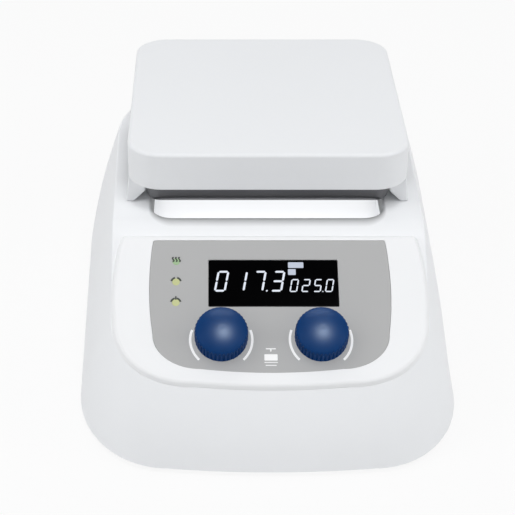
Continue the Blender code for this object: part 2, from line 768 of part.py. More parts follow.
def make_knob(side_name, axis, blue, steel, brass, dark):
    """One control: ribbed knob on a D spindle, which turns a rotor and also presses in."""
    facets = KNOB_RIBS * 2
    top = KNOB_BOTTOM + KNOB_HEIGHT
    loops = [
        circle(KNOB_RADIUS - KNOB_RIB_DEPTH * 2, KNOB_BOTTOM, facets),
        ribbed(KNOB_RADIUS, KNOB_BOTTOM + KNOB_HEIGHT * 0.06),
        ribbed(KNOB_RADIUS, KNOB_BOTTOM + KNOB_HEIGHT * 0.42),
    ]
    for radius, height in crown_profile():
        loops.append(circle(radius, top - height, facets))
    knob = piece(f"{side_name}_knob", loft(loops), blue, axis)
    roof = KNOB_BOTTOM + KNOB_RECESS_DEPTH
    combine(knob, rod(KNOB_RECESS, KNOB_BOTTOM - KNOB_LIFT, roof, ROUND), parent=axis)
    hole, hole_flat = SPINDLE_RADIUS + SIDE_GAP, SPINDLE_FLAT + SIDE_GAP
    bore = [flatted(hole, hole_flat, z) for z in (roof - KNOB_ROOF, top - KNOB_ROOF)]
    combine(knob, loft(bore), parent=axis)

    chamber_top = ENCODER_TOP - ENCODER_ROOF
    low = BOARD_TOP + SEAT_GAP
    spindle_low = BOARD_TOP + KNOB_PRESS + SEAT_GAP * 2
    spindle = [flatted(SPINDLE_RADIUS, SPINDLE_FLAT, z) for z in (spindle_low, top - KNOB_ROOF - SEAT_GAP)]
    piece(f"{side_name}_encoder_shaft", loft(spindle), steel, axis)

    rotor_low, rotor_high = low + ROTOR_PLAY, chamber_top - ROTOR_GAP
    rotor = [
        flatted(hole, hole_flat, rotor_low),
        circle(ROTOR_RADIUS, rotor_low),
        circle(ROTOR_RADIUS, rotor_high),
        flatted(hole, hole_flat, rotor_high),
    ]
    piece(f"{side_name}_encoder_rotor", loft(rotor, closed=True), brass, axis)

    body = piece(f"{side_name}_encoder_body", box(ENCODER_SIDE, ENCODER_SIDE, low, ENCODER_TOP), dark, axis)
    combine(body, rod(BUSH_RADIUS, chamber_top, PANEL_TOP + BUSH_PROUD, ROUND), "UNION", axis)
    chamber = [
        (ROTOR_RADIUS + ROTOR_GAP, low - ROTOR_PLAY),
        (ROTOR_RADIUS + ROTOR_GAP, chamber_top),
        (SPINDLE_RADIUS + SIDE_GAP, chamber_top),
        (SPINDLE_RADIUS + SIDE_GAP, PANEL_TOP + BUSH_PROUD * 2),
    ]
    combine(body, turned(chamber), parent=axis)

    low = PANEL_TOP + SEAT_GAP
    high = low + NUT_HEIGHT
    nut = piece(f"{side_name}_encoder_nut", rod(NUT_RADIUS, low, high, 6), steel, axis)
    thread = rod(BUSH_RADIUS + SIDE_GAP, low - NUT_HEIGHT, high + NUT_HEIGHT, ROUND)
    combine(nut, thread, parent=axis)


def make_plate(white, dark_steel, ceramic, steel, fibre, brass):
    """The heating plate with its heater, and the dark tray that closes it from below."""
    half = PLATE_SIDE / 2
    loops = [rectangle(half, half, PLATE_CORNER, PLATE_BOTTOM, 0.0, PLATE_MIDDLE)]
    for angle in (0, 45, 90):
        turn = math.radians(angle)
        inset = PLATE_ROUND * (1 - math.cos(turn))
        level = TOTAL_HEIGHT - PLATE_ROUND * (1 - math.sin(turn))
        loops.append(rectangle(half - inset, half - inset, PLATE_CORNER - inset, level, 0.0, PLATE_MIDDLE))
    plate = piece("top_plate", loft(loops), white)
    combine(plate, slab(
        HOLLOW_HALF, HOLLOW_HALF, PLATE_HOLLOW_CORNER,
        PLATE_BOTTOM - PLATE_SKIN, PLATE_CEILING, 0.0, PLATE_MIDDLE,
    ))
    sockets = []
    for _, side, y in support_places():
        sockets.append(rod(
            BOLT_SHANK + BOLT_CLEARANCE, PLATE_BOTTOM - BOLT_REACH, PLATE_BOTTOM + BOLT_REACH + SEAT_GAP,
            SMALL_ROUND, side * bolt_x(), y,
        ))
    combine(plate, merged(sockets))

    tray_half = HOLLOW_HALF - TRAY_GAP
    tray_low = PLATE_BOTTOM - TRAY_DROP
    tray_high = PLATE_BOTTOM + TRAY_LAP
    corner = PLATE_HOLLOW_CORNER - TRAY_GAP
    loops = []
    for angle in (90, 45, 0):
        turn = math.radians(angle)
        inset = TRAY_ROUND * (1 - math.cos(turn))
        half = tray_half - inset
        level = tray_low + TRAY_ROUND * (1 - math.sin(turn))
        loops.append(rectangle(half, half, corner - inset, level, 0.0, PLATE_MIDDLE))
    loops.append(rectangle(tray_half, tray_half, corner, tray_high, 0.0, PLATE_MIDDLE))
    inner = tray_half - TRAY_SHEET
    loops.append(rectangle(inner, inner, corner - TRAY_SHEET, tray_high, 0.0, PLATE_MIDDLE))
    loops.append(rectangle(inner, inner, corner - TRAY_SHEET, tray_low + TRAY_ROUND, 0.0, PLATE_MIDDLE))
    floor = tray_half - TRAY_ROUND
    loops.append(rectangle(floor, floor, corner - TRAY_ROUND, tray_low + TRAY_SHEET, 0.0, PLATE_MIDDLE))
    tray = piece("heat_shield_tray", loft(loops), dark_steel)
    combine(tray, rod(TRAY_HOLE, tray_low - TRAY_DROP, tray_low + TRAY_ROUND, ROUND, 0.0, PLATE_MIDDLE))

    ring_middle = PLATE_CEILING - SEAT_GAP - HEATER_TUBE
    profile = []
    for i in range(8):
        angle = 2 * math.pi * (i + 0.5) / 8
        reach = HEATER_TUBE / math.cos(math.pi / 8)
        profile.append((HEATER_RADIUS + reach * math.cos(angle), ring_middle + reach * math.sin(angle)))
    piece("heater_ring", turned(profile, ROUND + 8, 0.0, PLATE_MIDDLE, closed=True), ceramic)
    clamp_top = PLATE_CEILING - 2 * SEAT_GAP - 2 * HEATER_TUBE
    clamp_low = clamp_top - CLAMP_SHEET
    piece("heater_clamp", rod(CLAMP_RADIUS, clamp_low, clamp_top, ROUND, 0.0, PLATE_MIDDLE), steel)
    pad_top = clamp_low - SEAT_GAP
    piece("insulation_pad", rod(PAD_RADIUS, pad_top - PAD_SHEET, pad_top, ROUND, 0.0, PLATE_MIDDLE), fibre)
    piece("temperature_probe", rod(
        PROBE_RADIUS, clamp_top + SEAT_GAP, PLATE_CEILING - SEAT_GAP, SMALL_ROUND, 0.0, PLATE_MIDDLE,
    ), brass)


def make_supports(white, steel):
    """Four gussets between deck and plate, each with a boss for its bolt from below."""
    low, high = DECK_HEIGHT + SEAT_GAP, PLATE_BOTTOM - SEAT_GAP
    outer = PLATE_SIDE / 2
    for name, side, y in support_places():
        loops = []
        knee = SUPPORT_FLARE * (1 - SUPPORT_KNEE / (high - low))
        for width, flare, z in (
            (SUPPORT_BOTTOM, SUPPORT_FLARE, low),
            (SUPPORT_TOP + knee, knee, low + SUPPORT_KNEE),
            (SUPPORT_TOP, 0.0, high),
        ):
            x = side * (outer + flare - width / 2)
            loops.append(rectangle(width / 2, SUPPORT_LENGTH / 2, SUPPORT_ROUND, z, x, y, 3))
        support = piece(f"plate_support_{name}", loft(loops), white)
        combine(support, rod(SUPPORT_BOSS, low, high, ROUND, side * bolt_x(), y), "UNION")
        combine(support, rod(
            BOLT_SHANK + BOLT_CLEARANCE, low - BOLT_REACH, high + BOLT_REACH,
            SMALL_ROUND, side * bolt_x(), y,
        ))
        head = DECK_HEIGHT - HOUSING_WALL - SEAT_GAP
        profile = [
            (BOLT_HEAD, head - BOLT_HEAD_HEIGHT),
            (BOLT_HEAD, head),
            (BOLT_SHANK, head),
            (BOLT_SHANK, PLATE_BOTTOM + BOLT_REACH),
        ]
        piece(f"plate_bolt_{name}", turned(profile, SMALL_ROUND, side * bolt_x(), y), steel)


def make_drive(axis, steel, dark, alloy, magnet_steel):
    """The stirring motor under the well, and the magnet holder that it spins under the plate."""
    mount_top = WELL_UNDERSIDE - SEAT_GAP
    mount_low = mount_top - MOTOR_PLATE_SHEET
    motor_top = mount_low - SEAT_GAP
    motor_low = motor_top - MOTOR_LENGTH
    half = MOTOR_PLATE_SIDE / 2
    sheet = slab(half, half, MOTOR_SCREW_HEAD, mount_low, mount_top, 0.0, PLATE_MIDDLE)
    mount = piece("motor_mount_plate", sheet, steel)
    low, high = mount_low - MOTOR_PLATE_SHEET, mount_top + MOTOR_PLATE_SHEET
    holes = [rod(SHAFT_HOLE, low, high, SMALL_ROUND, 0.0, PLATE_MIDDLE)]
    for x, y in motor_screw_places():
        holes.append(rod(MOTOR_SCREW + BOLT_CLEARANCE, low, high, SMALL_ROUND, x, y))
    combine(mount, merged(holes))

    seat = BEARING_RADIUS + SIDE_GAP
    profile = [
        (MOTOR_BORE, motor_low + BEARING_WIDTH + SEAT_GAP),
        (seat, motor_low + BEARING_WIDTH + SEAT_GAP),
        (seat, motor_low),
        (MOTOR_RADIUS, motor_low),
        (MOTOR_RADIUS, motor_top),
        (seat, motor_top),
        (seat, motor_top - BEARING_WIDTH - SEAT_GAP),
        (MOTOR_BORE, motor_top - BEARING_WIDTH - SEAT_GAP),
    ]
    motor = piece("motor_body", turned(profile, closed=True), dark, axis)
    low, high = motor_top - MOTOR_SCREW_GRIP - SEAT_GAP, motor_top + MOTOR_SCREW_GRIP
    reach = MOTOR_SCREW + BOLT_CLEARANCE
    threads = [rod(reach, low, high, SMALL_ROUND, x, y - PLATE_MIDDLE) for x, y in motor_screw_places()]
    combine(motor, merged(threads), parent=axis)
    names = ("front_left", "rear_left", "front_right", "rear_right")
    for name, (x, y) in zip(names, motor_screw_places()):
        head = WELL_FLOOR + SEAT_GAP
        profile = [
            (MOTOR_SCREW, motor_top - MOTOR_SCREW_GRIP),
            (MOTOR_SCREW, head),
            (MOTOR_SCREW_HEAD, head),
            (MOTOR_SCREW_HEAD, head + MOTOR_SCREW_HEAD_HEIGHT),
        ]
        piece(f"motor_screw_{name}", turned(profile, SMALL_ROUND, x, y), steel)

    bore = SHAFT_RADIUS + SIDE_GAP
    piece("lower_bearing", tube(bore, BEARING_RADIUS, motor_low, motor_low + BEARING_WIDTH), steel, axis)
    piece("upper_bearing", tube(bore, BEARING_RADIUS, motor_top - BEARING_WIDTH, motor_top), steel, axis)

    clamp_low = PLATE_CEILING - 2 * SEAT_GAP - 2 * HEATER_TUBE - CLAMP_SHEET
    holder_top = clamp_low - SEAT_GAP - PAD_SHEET - HOLDER_RUNNING_GAP
    holder_low = holder_top - HOLDER_HEIGHT
    shaft_top = holder_top - HOLDER_HEIGHT / 4
    piece("motor_shaft", rod(SHAFT_RADIUS, motor_low, shaft_top, SMALL_ROUND), steel, axis)
    holder = piece("magnet_holder", slab(
        HOLDER_LENGTH / 2, HOLDER_WIDTH / 2, HOLDER_WIDTH / 2.1, holder_low, holder_top,
    ), alloy, axis)
    pockets = [rod(bore, holder_low - HOLDER_HEIGHT, shaft_top + SEAT_GAP)]
    pocket_low = holder_top - MAGNET_HEIGHT - SEAT_GAP
    for side in (-1, 1):
        pockets.append(rod(
            MAGNET_RADIUS + SIDE_GAP, pocket_low, holder_top + HOLDER_HEIGHT, ROUND, side * MAGNET_OFFSET,
        ))
    combine(holder, merged(pockets), parent=axis)
    for name, side in (("left", -1), ("right", 1)):
        piece(f"drive_magnet_{name}", rod(
            MAGNET_RADIUS, pocket_low + SEAT_GAP, holder_top, ROUND, side * MAGNET_OFFSET,
        ), magnet_steel, axis)


def make_base(steel, rubber, board_green, copper, alloy):
    """The base plate with feet, screws and the main board on its posts."""
    low = HOUSING_BOTTOM + FOOT_RECESS
    base = piece("base_plate", loft([hollow_outline(z, BASE_FIT) for z in (low, BASE_TOP)]), steel)
    posts = []
    for sx in (-1, 1):
        for sy in (-1, 1):
            x = sx * (MAIN_BOARD_WIDTH / 2 - POST_INSET)
            y = MAIN_BOARD_Y + sy * (MAIN_BOARD_LENGTH / 2 - POST_INSET)
            posts.append(rod(POST_RADIUS, BASE_TOP - BASE_SHEET / 2, BASE_TOP + POST_HEIGHT, 8, x, y))
    combine(base, merged(posts), "UNION")
    holes = []
    under, over = low - BASE_SHEET, BASE_TOP + BASE_SHEET
    for x, y in boss_places():
        holes.append(rod(BASE_SCREW + BASE_SCREW_SIDE, under, over, SMALL_ROUND, x, y))
    for i in range(BASE_SLOTS):
        x = BASE_SLOT_PITCH * (i - (BASE_SLOTS - 1) / 2)
        holes.append(box(VENT_WIDTH, BASE_SLOT_LENGTH, under, over, x, BASE_SLOT_Y))
    combine(base, merged(holes))

    foot_top = low - SEAT_GAP
    names = ("front_left", "rear_left", "front_right", "rear_right")
    for name, (x, y) in zip(names, boss_places()):
        hole = BASE_SCREW + BASE_SCREW_SIDE
        head_top = foot_top - BASE_SCREW_HEAD_HEIGHT / 2
        recess_top = head_top + SEAT_GAP
        profile = [
            (FOOT_SCREW_RECESS, 0.0),
            (FOOT_RADIUS, 0.0),
            (FOOT_RADIUS, foot_top),
            (hole, foot_top),
            (hole, recess_top),
            (FOOT_SCREW_RECESS, recess_top),
        ]
        piece(f"foot_{name}", turned(profile, ROUND, x, y, closed=True), rubber)
        profile = [
            (BASE_SCREW_HEAD, head_top - BASE_SCREW_HEAD_HEIGHT),
            (BASE_SCREW_HEAD, head_top),
            (BASE_SCREW, head_top),
            (BASE_SCREW, BASE_TOP + BASE_SCREW_REACH),
        ]
        piece(f"base_screw_{name}", turned(profile, SMALL_ROUND, x, y), steel)

    board_low = BASE_TOP + POST_HEIGHT + SEAT_GAP
    board_top = board_low + MAIN_BOARD_SHEET
    piece("main_board", slab(
        MAIN_BOARD_WIDTH / 2, MAIN_BOARD_LENGTH / 2, POST_RADIUS, board_low, board_top, 0.0, MAIN_BOARD_Y,
    ), board_green)
    seat = board_top + SEAT_GAP
    width, length, height = TRANSFORMER_SIZE
    piece("transformer", slab(
        width / 2, length / 2, POST_RADIUS, seat, seat + height, *TRANSFORMER_PLACE,
    ), copper)
    width, length, height = SINK_SIZE
    sink = piece("heat_sink", box(width, length, seat, seat + SINK_FOOT, *SINK_PLACE), alloy)
    fins = []
    for i in range(SINK_FINS):
        x = SINK_PLACE[0] + (width - SINK_FIN) * (i / (SINK_FINS - 1) - 0.5) * 0.96
        fins.append(box(SINK_FIN, length * 0.94, seat + SINK_FOOT / 2, seat + height, x, SINK_PLACE[1]))
    combine(sink, merged(fins), "UNION")


def make_power_entry(rear, rocker_axis, black):
    """The mains inlet on the rear wall, with its fuse drawer and rocker switch."""
    face = SEAT_GAP + ENTRY_FLANGE_SHEET
    half_x, half_y = ENTRY_WIDTH / 2, ENTRY_LENGTH / 2
    loops = [rectangle(half_x, half_y, ENTRY_CORNER / 3, z, steps=2) for z in (-ENTRY_DEPTH, SEAT_GAP)]
    wide_x, wide_y = half_x + ENTRY_FLANGE, half_y + ENTRY_FLANGE
    loops += [rectangle(wide_x, wide_y, ENTRY_CORNER, z, steps=2) for z in (SEAT_GAP, face)]
    entry = piece("mains_inlet", loft(loops), black, rear)

    cavity_low = face - INLET_DEPTH
    half_x, half_y = INLET_WIDTH / 2, INLET_LENGTH / 2
    outline = [
        (half_x, -half_y), (half_x, half_y - INLET_CHAMFER), (half_x - INLET_CHAMFER, half_y),
        (-half_x + INLET_CHAMFER, half_y), (-half_x, half_y - INLET_CHAMFER), (-half_x, -half_y),
    ]
    cavity = loft([[(x, y + INLET_AT, z) for x, y in outline] for z in (cavity_low, face + INLET_DEPTH)])
    drawer_slot = box(
        DRAWER_WIDTH + 2 * SIDE_GAP, DRAWER_LENGTH + 2 * SIDE_GAP,
        face - DRAWER_DEPTH - SEAT_GAP, face + DRAWER_DEPTH, 0.0, DRAWER_AT,
    )
    swing = math.hypot(ROCKER_HALF, ROCKER_RISE) + SIDE_GAP
    rocker_slot = box(
        ROCKER_WIDTH + 2 * SIDE_GAP, 2 * swing, face - ROCKER_WELL, face + ROCKER_WELL, 0.0, ROCKER_AT,
    )
    combine(entry, merged([cavity, drawer_slot, rocker_slot]), parent=rear)
    pins = []
    for x, y in ((-PIN_PITCH, -PIN_STEP), (0.0, PIN_STEP), (PIN_PITCH, -PIN_STEP)):
        pins.append(box(
            PIN_WIDTH, PIN_LENGTH, cavity_low - PIN_WIDTH, cavity_low + PIN_HEIGHT, x, y + INLET_AT,
        ))
    combine(entry, merged(pins), "UNION", rear)

    drawer = piece("fuse_drawer", box(
        DRAWER_WIDTH, DRAWER_LENGTH, face - DRAWER_DEPTH, face + DRAWER_LIP, 0.0, DRAWER_AT,
    ), black, rear)
    combine(drawer, box(
        DRAWER_POCKET_WIDTH, DRAWER_LENGTH, face - DRAWER_DEPTH / 2 - DRAWER_POCKET_DEPTH / 2,
        face - DRAWER_DEPTH / 2 + DRAWER_POCKET_DEPTH / 2,
        0.0, DRAWER_AT + DRAWER_LENGTH - DRAWER_POCKET_LENGTH,
    ), parent=rear)

    outline = [(-ROCKER_HALF, ROCKER_RISE), (-ROCKER_HALF, 0.0)]
    for i in range(7):
        angle = math.pi * (1 + i / 6)
        outline.append((ROCKER_BELLY * math.cos(angle), ROCKER_BELLY * math.sin(angle)))
    outline += [(ROCKER_HALF, 0.0), (ROCKER_HALF, ROCKER_RISE), (0.0, ROCKER_DIP)]
    loops = [[(x, y, z) for y, z in outline] for x in (-ROCKER_WIDTH / 2, ROCKER_WIDTH / 2)]
    piece("switch_rocker", loft(loops), black, rocker_axis)


def main():
    clear_scene()
    white_plastic = finish("white_plastic", (0.86, 0.87, 0.88), 0.42)
    white_enamel = finish("white_enamel", (0.88, 0.88, 0.88), 0.30)
    bezel_white = finish("bezel_white", (0.90, 0.90, 0.90), 0.35)
    panel_grey = finish("panel_grey", (0.42, 0.43, 0.44), 0.50)
    window_black = finish("window_black", (0.01, 0.01, 0.012), 0.15)
    black_plastic = finish("black_plastic", (0.02, 0.02, 0.02), 0.45)
    knob_blue = finish("knob_blue", (0.01, 0.05, 0.16), 0.35)
    lamp_green = finish("lamp_green", (0.35, 0.75, 0.45), 0.30)
    lamp_amber = finish("lamp_amber", (0.75, 0.80, 0.15), 0.30)
    board_green = finish("board_green", (0.02, 0.16, 0.07), 0.50)
    dark_steel = finish("dark_steel", (0.10, 0.10, 0.11), 0.35, 1.0)
    steel = finish("steel", (0.62, 0.62, 0.63), 0.35, 1.0)
    alloy = finish("alloy", (0.75, 0.75, 0.76), 0.40, 1.0)
    brass = finish("brass", (0.72, 0.52, 0.22), 0.35, 1.0)
    copper = finish("copper", (0.55, 0.27, 0.14), 0.50)
    ceramic = finish("heater_ceramic", (0.55, 0.50, 0.45), 0.70)
    fibre = finish("ceramic_fibre", (0.88, 0.86, 0.80), 0.95)
    magnet = finish("magnet_steel", (0.30, 0.30, 0.32), 0.30, 1.0)
    rubber = finish("rubber", (0.03, 0.03, 0.03), 0.85)

    console = frame("console_frame", Matrix.Translation((0.0, CONSOLE_FOLD, DECK_HEIGHT))
                    @ Matrix.Rotation(CONSOLE_SLOPE, 4, "X"))
    rise = ENTRY_RISE - HOUSING_BOTTOM
    rear_y = BASE_REAR - rise * math.tan(REAR_LEAN)
    rear = frame("rear_frame", Matrix.Translation((0.0, rear_y, ENTRY_RISE))
                 @ Matrix.Rotation(math.pi, 4, "Z") @ Matrix.Rotation(math.pi / 2 - REAR_LEAN, 4, "X"))
    drive_axis = frame("stir_axis", Matrix.Translation((0.0, PLATE_MIDDLE, 0.0)))
    face = SEAT_GAP + ENTRY_FLANGE_SHEET
    rocker_axis = frame("rocker_axis", Matrix.Translation((0.0, ROCKER_AT, face + ROCKER_PIVOT))
                        @ Matrix.Rotation(ROCKER_TILT, 4, "X"), rear)

    make_housing(white_plastic, console, rear)
    make_console(console, bezel_white, panel_grey, window_black, lamp_green, lamp_amber, board_green)
    for name, side in (("left", -1), ("right", 1)):
        axis = frame(f"{name}_knob_axis", Matrix.Translation((side * KNOB_SHIFT, -KNOB_AT, 0.0)), console)
        make_knob(name, axis, knob_blue, steel, brass, black_plastic)
    make_plate(white_enamel, dark_steel, ceramic, steel, fibre, brass)
    make_supports(white_plastic, steel)
    make_drive(drive_axis, steel, black_plastic, alloy, magnet)
    make_base(alloy, rubber, board_green, copper, alloy)
    make_power_entry(rear, rocker_axis, black_plastic)


main()
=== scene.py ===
# %% [markdown]
# # A hotplate magnetic stirrer, dressed for its picture
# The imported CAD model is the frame: it says where every piece is, and which pieces move.
# This lesson models each visible piece again with Blender's own tools, finer than the CAD
# solid, gives it a finish, and lets it ride on the body that it belongs to.

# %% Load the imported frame
import json
import math

import bmesh
import bpy
from mathutils import Matrix, Vector


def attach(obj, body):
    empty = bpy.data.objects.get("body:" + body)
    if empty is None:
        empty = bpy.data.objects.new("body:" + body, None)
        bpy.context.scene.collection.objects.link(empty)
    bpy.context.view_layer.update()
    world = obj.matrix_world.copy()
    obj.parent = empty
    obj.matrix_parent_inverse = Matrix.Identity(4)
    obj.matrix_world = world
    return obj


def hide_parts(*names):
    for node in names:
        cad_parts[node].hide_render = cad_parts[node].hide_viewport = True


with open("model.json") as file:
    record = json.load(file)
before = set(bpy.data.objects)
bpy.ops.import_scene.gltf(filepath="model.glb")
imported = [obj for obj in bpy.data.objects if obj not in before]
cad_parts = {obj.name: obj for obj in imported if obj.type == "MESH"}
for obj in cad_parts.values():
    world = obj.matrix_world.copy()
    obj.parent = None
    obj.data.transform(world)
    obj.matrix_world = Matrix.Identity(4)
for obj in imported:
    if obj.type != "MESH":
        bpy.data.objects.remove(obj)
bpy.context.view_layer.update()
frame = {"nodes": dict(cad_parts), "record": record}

# %% [markdown]
# ## The camera
# The picture was taken with a long lens from a little above, and the object stands right of
# the lens axis. A long lens far away keeps the plate's sides nearly parallel, as they are
# there, and a small shift moves the object in the frame without turning the camera.

# %% Camera
LOOKING_DOWN, CAMERA_PLACE = math.radians(32.1), (-0.0305, -0.7047, 0.4887)
LENS, SENSOR, SHIFT, FARTHEST = 102.4, 36.0, 0.0903, 50.0

bpy.ops.object.select_all(action="DESELECT")
bpy.ops.object.camera_add(location=CAMERA_PLACE, rotation=(math.pi / 2 - LOOKING_DOWN, 0.0, 0.0))
camera = bpy.context.object
camera.data.lens, camera.data.sensor_width = LENS, SENSOR
camera.data.shift_x, camera.data.clip_end = SHIFT, FARTHEST
bpy.context.scene.camera = camera
print("camera looks down by", round(math.degrees(LOOKING_DOWN), 1), "degrees")

# %% [markdown]
# ## The floor and the light
# A packshot like this stands on white paper that sweeps up behind it, under soft boxes. The
# world gives the even part of the light. Rays that look at the surroundings, from the camera
# or off gloss and glass, see white paper round the horizon and a grey ceiling instead, which
# is what the Light Path node is for: the boxes then stand out in the gloss. The floor shows
# white in the same way, but a share of it is still lit, so that it keeps the object's shadow.
# Node trees are long to write, so small helpers add a node and fill its inputs.

# %% Node helpers
def feed(tree, node, inputs):
    """Fill a node's inputs, by name or in order: values are set, and sockets are linked."""
    for key, given in inputs.items() if isinstance(inputs, dict) else enumerate(inputs):
        if isinstance(given, bpy.types.NodeSocket):
            tree.links.new(given, node.inputs[key])
        else:
            node.inputs[key].default_value = given


def add_node(tree, kind, inputs=(), **settings):
    """A new shader node with these inputs and settings."""
    node = tree.nodes.new("ShaderNode" + kind)
    for key, value in settings.items():
        setattr(node, key, value)
    feed(tree, node, inputs)
    return node


def maths(tree, operation, *inputs):
    """The result of a Math node."""
    return add_node(tree, "Math", inputs, operation=operation).outputs[0]


def seen_mask(tree):
    """1 for the rays that look at the background, 0 for those that carry light."""
    path = add_node(tree, "LightPath").outputs
    seen = maths(tree, "MAXIMUM", path["Is Camera Ray"], path["Is Glossy Ray"])
    return maths(tree, "MAXIMUM", seen, path["Is Transmission Ray"])


print("node helpers ready")

# %% World and floor
WORLD_LIGHT, WORLD_TINT = 0.45, (0.97, 0.985, 1.0, 1.0)
HORIZON = ((0.15, 1.0), (0.45, 0.08))  # height and brightness where paper ends, and ceiling starts
FLOOR_SIZE, FLOOR_GREY, FLOOR_GLOW = 8.0, (0.74, 0.74, 0.74, 1.0), 0.88

scene = bpy.context.scene
scene.view_settings.view_transform = "Standard"
scene.world = bpy.data.worlds.new("studio")
scene.world.use_nodes = True
tree = scene.world.node_tree
light = tree.nodes["Background"]
feed(tree, light, {"Color": WORLD_TINT, "Strength": WORLD_LIGHT})
way = add_node(tree, "TexCoord").outputs["Generated"]
ramp = add_node(tree, "ValToRGB", (add_node(tree, "SeparateXYZ", (way,)).outputs["Z"],))
for stop, (height, grey) in zip(ramp.color_ramp.elements, HORIZON):
    stop.position, stop.color = height, (grey, grey, grey, 1.0)
around = add_node(tree, "Background", (ramp.outputs["Color"],))
choice = add_node(tree, "MixShader", (seen_mask(tree), light.outputs[0], around.outputs[0]))
feed(tree, tree.nodes["World Output"], (choice.outputs[0],))

bpy.ops.object.select_all(action="DESELECT")
bpy.ops.mesh.primitive_plane_add(size=FLOOR_SIZE)
floor = bpy.context.object
floor.name = "studio_floor"
paper = bpy.data.materials.new("studio_paper")
paper.use_nodes = True
tree = paper.node_tree
lit = tree.nodes["Principled BSDF"]
feed(tree, lit, {"Base Color": FLOOR_GREY, "Roughness": 0.9, "Specular IOR Level": 0.0})
share = maths(tree, "MULTIPLY", seen_mask(tree), FLOOR_GLOW)
glow = add_node(tree, "Emission")
choice = add_node(tree, "MixShader", (share, lit.outputs[0], glow.outputs[0]))
feed(tree, tree.nodes["Material Output"], (choice.outputs[0],))
floor.data.materials.append(paper)
print("floor", tuple(round(v, 2) for v in floor.dimensions))

# %% [markdown]
# The gloss on the knobs tells where the boxes stood: one high over the front, one low on the
# left, one on the right and one behind. Small fills stand for light that the white surroundings
# throw back: one from the left, and flat ones that light the well and the deck's corners under
# the plate. They do not show in the gloss. The last boxes are flagged off so that only the
# dials mirror them, which is how a photographer sets a soft highlight on a dull knob. No lamp
# is seen itself.

# %% Lamps
MIDDLE = Vector((0.0, 0.0, 0.06))
# Name, degrees from the front to the right, degrees up, metres away, width, length, watts.
BOXES = (
    ("key_box", 16, 71, 1.7, 0.55, 0.55, 9.2), ("left_box", -64, 28, 1.5, 0.6, 0.6, 4.0),
    ("right_box", 72, 18, 1.5, 0.6, 0.6, 4.8), ("back_box", 180, 42, 1.6, 1.2, 0.5, 2.0),
    ("top_left_fill", -75, 58, 1.5, 0.8, 0.8, 2.8),
)
GLEAMS = (
    ("top_gleam", 13, 66, 1.7, 0.7, 0.7, 245.0), ("back_gleam", 180, 42, 1.7, 1.2, 0.5, 43.0),
)
GLEAM_TINT = (0.85, 1.0, 1.15)
# Name, place, width, length, watts. These shine straight down.
FLAT_FILLS = (
    ("gap_fill", (0.0, 0.0373, 0.0845), 0.1215, 0.1265, 0.0505),
    ("left_corner_fill", (-0.0655, -0.017, 0.1055), 0.014, 0.018, 0.0006),
    ("right_corner_fill", (0.0655, -0.017, 0.1055), 0.014, 0.018, 0.0006),
)


def soft_box(name, place, target, width, length, power):
    """An area lamp that looks at its target."""
    bpy.ops.object.select_all(action="DESELECT")
    bpy.ops.object.light_add(type="AREA", location=place)
    lamp = bpy.context.object
    lamp.name = lamp.data.name = name
    lamp.data.shape, lamp.data.energy = "RECTANGLE", power
    lamp.data.size, lamp.data.size_y = width, length
    lamp.rotation_euler = (Vector(target) - Vector(place)).to_track_quat("-Z", "Y").to_euler()
    lamp.visible_camera, lamp.visible_glossy = False, not name.endswith("fill")
    return lamp


def aimed_box(name, turn, rise, distance, *size_and_power):
    """A soft box in a direction from the object's middle."""
    turn, rise = math.radians(turn), math.radians(rise)
    level = math.cos(rise)
    way = Vector((level * math.sin(turn), -level * math.cos(turn), math.sin(rise)))
    return soft_box(name, MIDDLE + way * distance, MIDDLE, *size_and_power)


for box in BOXES:
    aimed_box(*box)
for name, place, *size_and_power in FLAT_FILLS:
    soft_box(name, place, (*place[:2], 0.0), *size_and_power)
dial_light = bpy.data.collections.new("dial_light")
for box in GLEAMS:
    gleam = aimed_box(*box)
    gleam.data.color = GLEAM_TINT
    gleam.visible_diffuse = False
    gleam.light_linking.receiver_collection = dial_light

# %% [markdown]
# ## Finishes: two effects that many materials share
# Moulded plastic is never one colour: the mould was spark-eroded, so the skin has a fine
# grain that breaks up its gloss, and the colour drifts a little over the piece. Worked metal
# shows fine lines along the way it was rolled or turned. Each effect is a node group that
# puts out a colour, a roughness and a height, and each material gives it its own values.

# %% Node groups for grain and for brushed metal
EFFECT_INPUTS = {"Vector": "Vector", "Tint": "Color", "Second Tint": "Color",
                 "Scale": "Float", "Roughness": "Float", "Spread": "Float"}
EFFECT_OUTPUTS = {"Color": "Color", "Roughness": "Float", "Height": "Float"}
FINE_SHARE, FINE_DETAIL, BROAD_DETAIL = 0.35, 4.0, 2.0


def new_group(name, inputs, outputs):
    """A node group with named sockets: the group, what it is given, and its output node."""
    group = bpy.data.node_groups.new(name, "ShaderNodeTree")
    for way, sockets in (("INPUT", inputs), ("OUTPUT", outputs)):
        for label, kind in sockets.items():
            group.interface.new_socket(label, in_out=way, socket_type="NodeSocket" + kind)
    return group, group.nodes.new("NodeGroupInput").outputs, group.nodes.new("NodeGroupOutput")


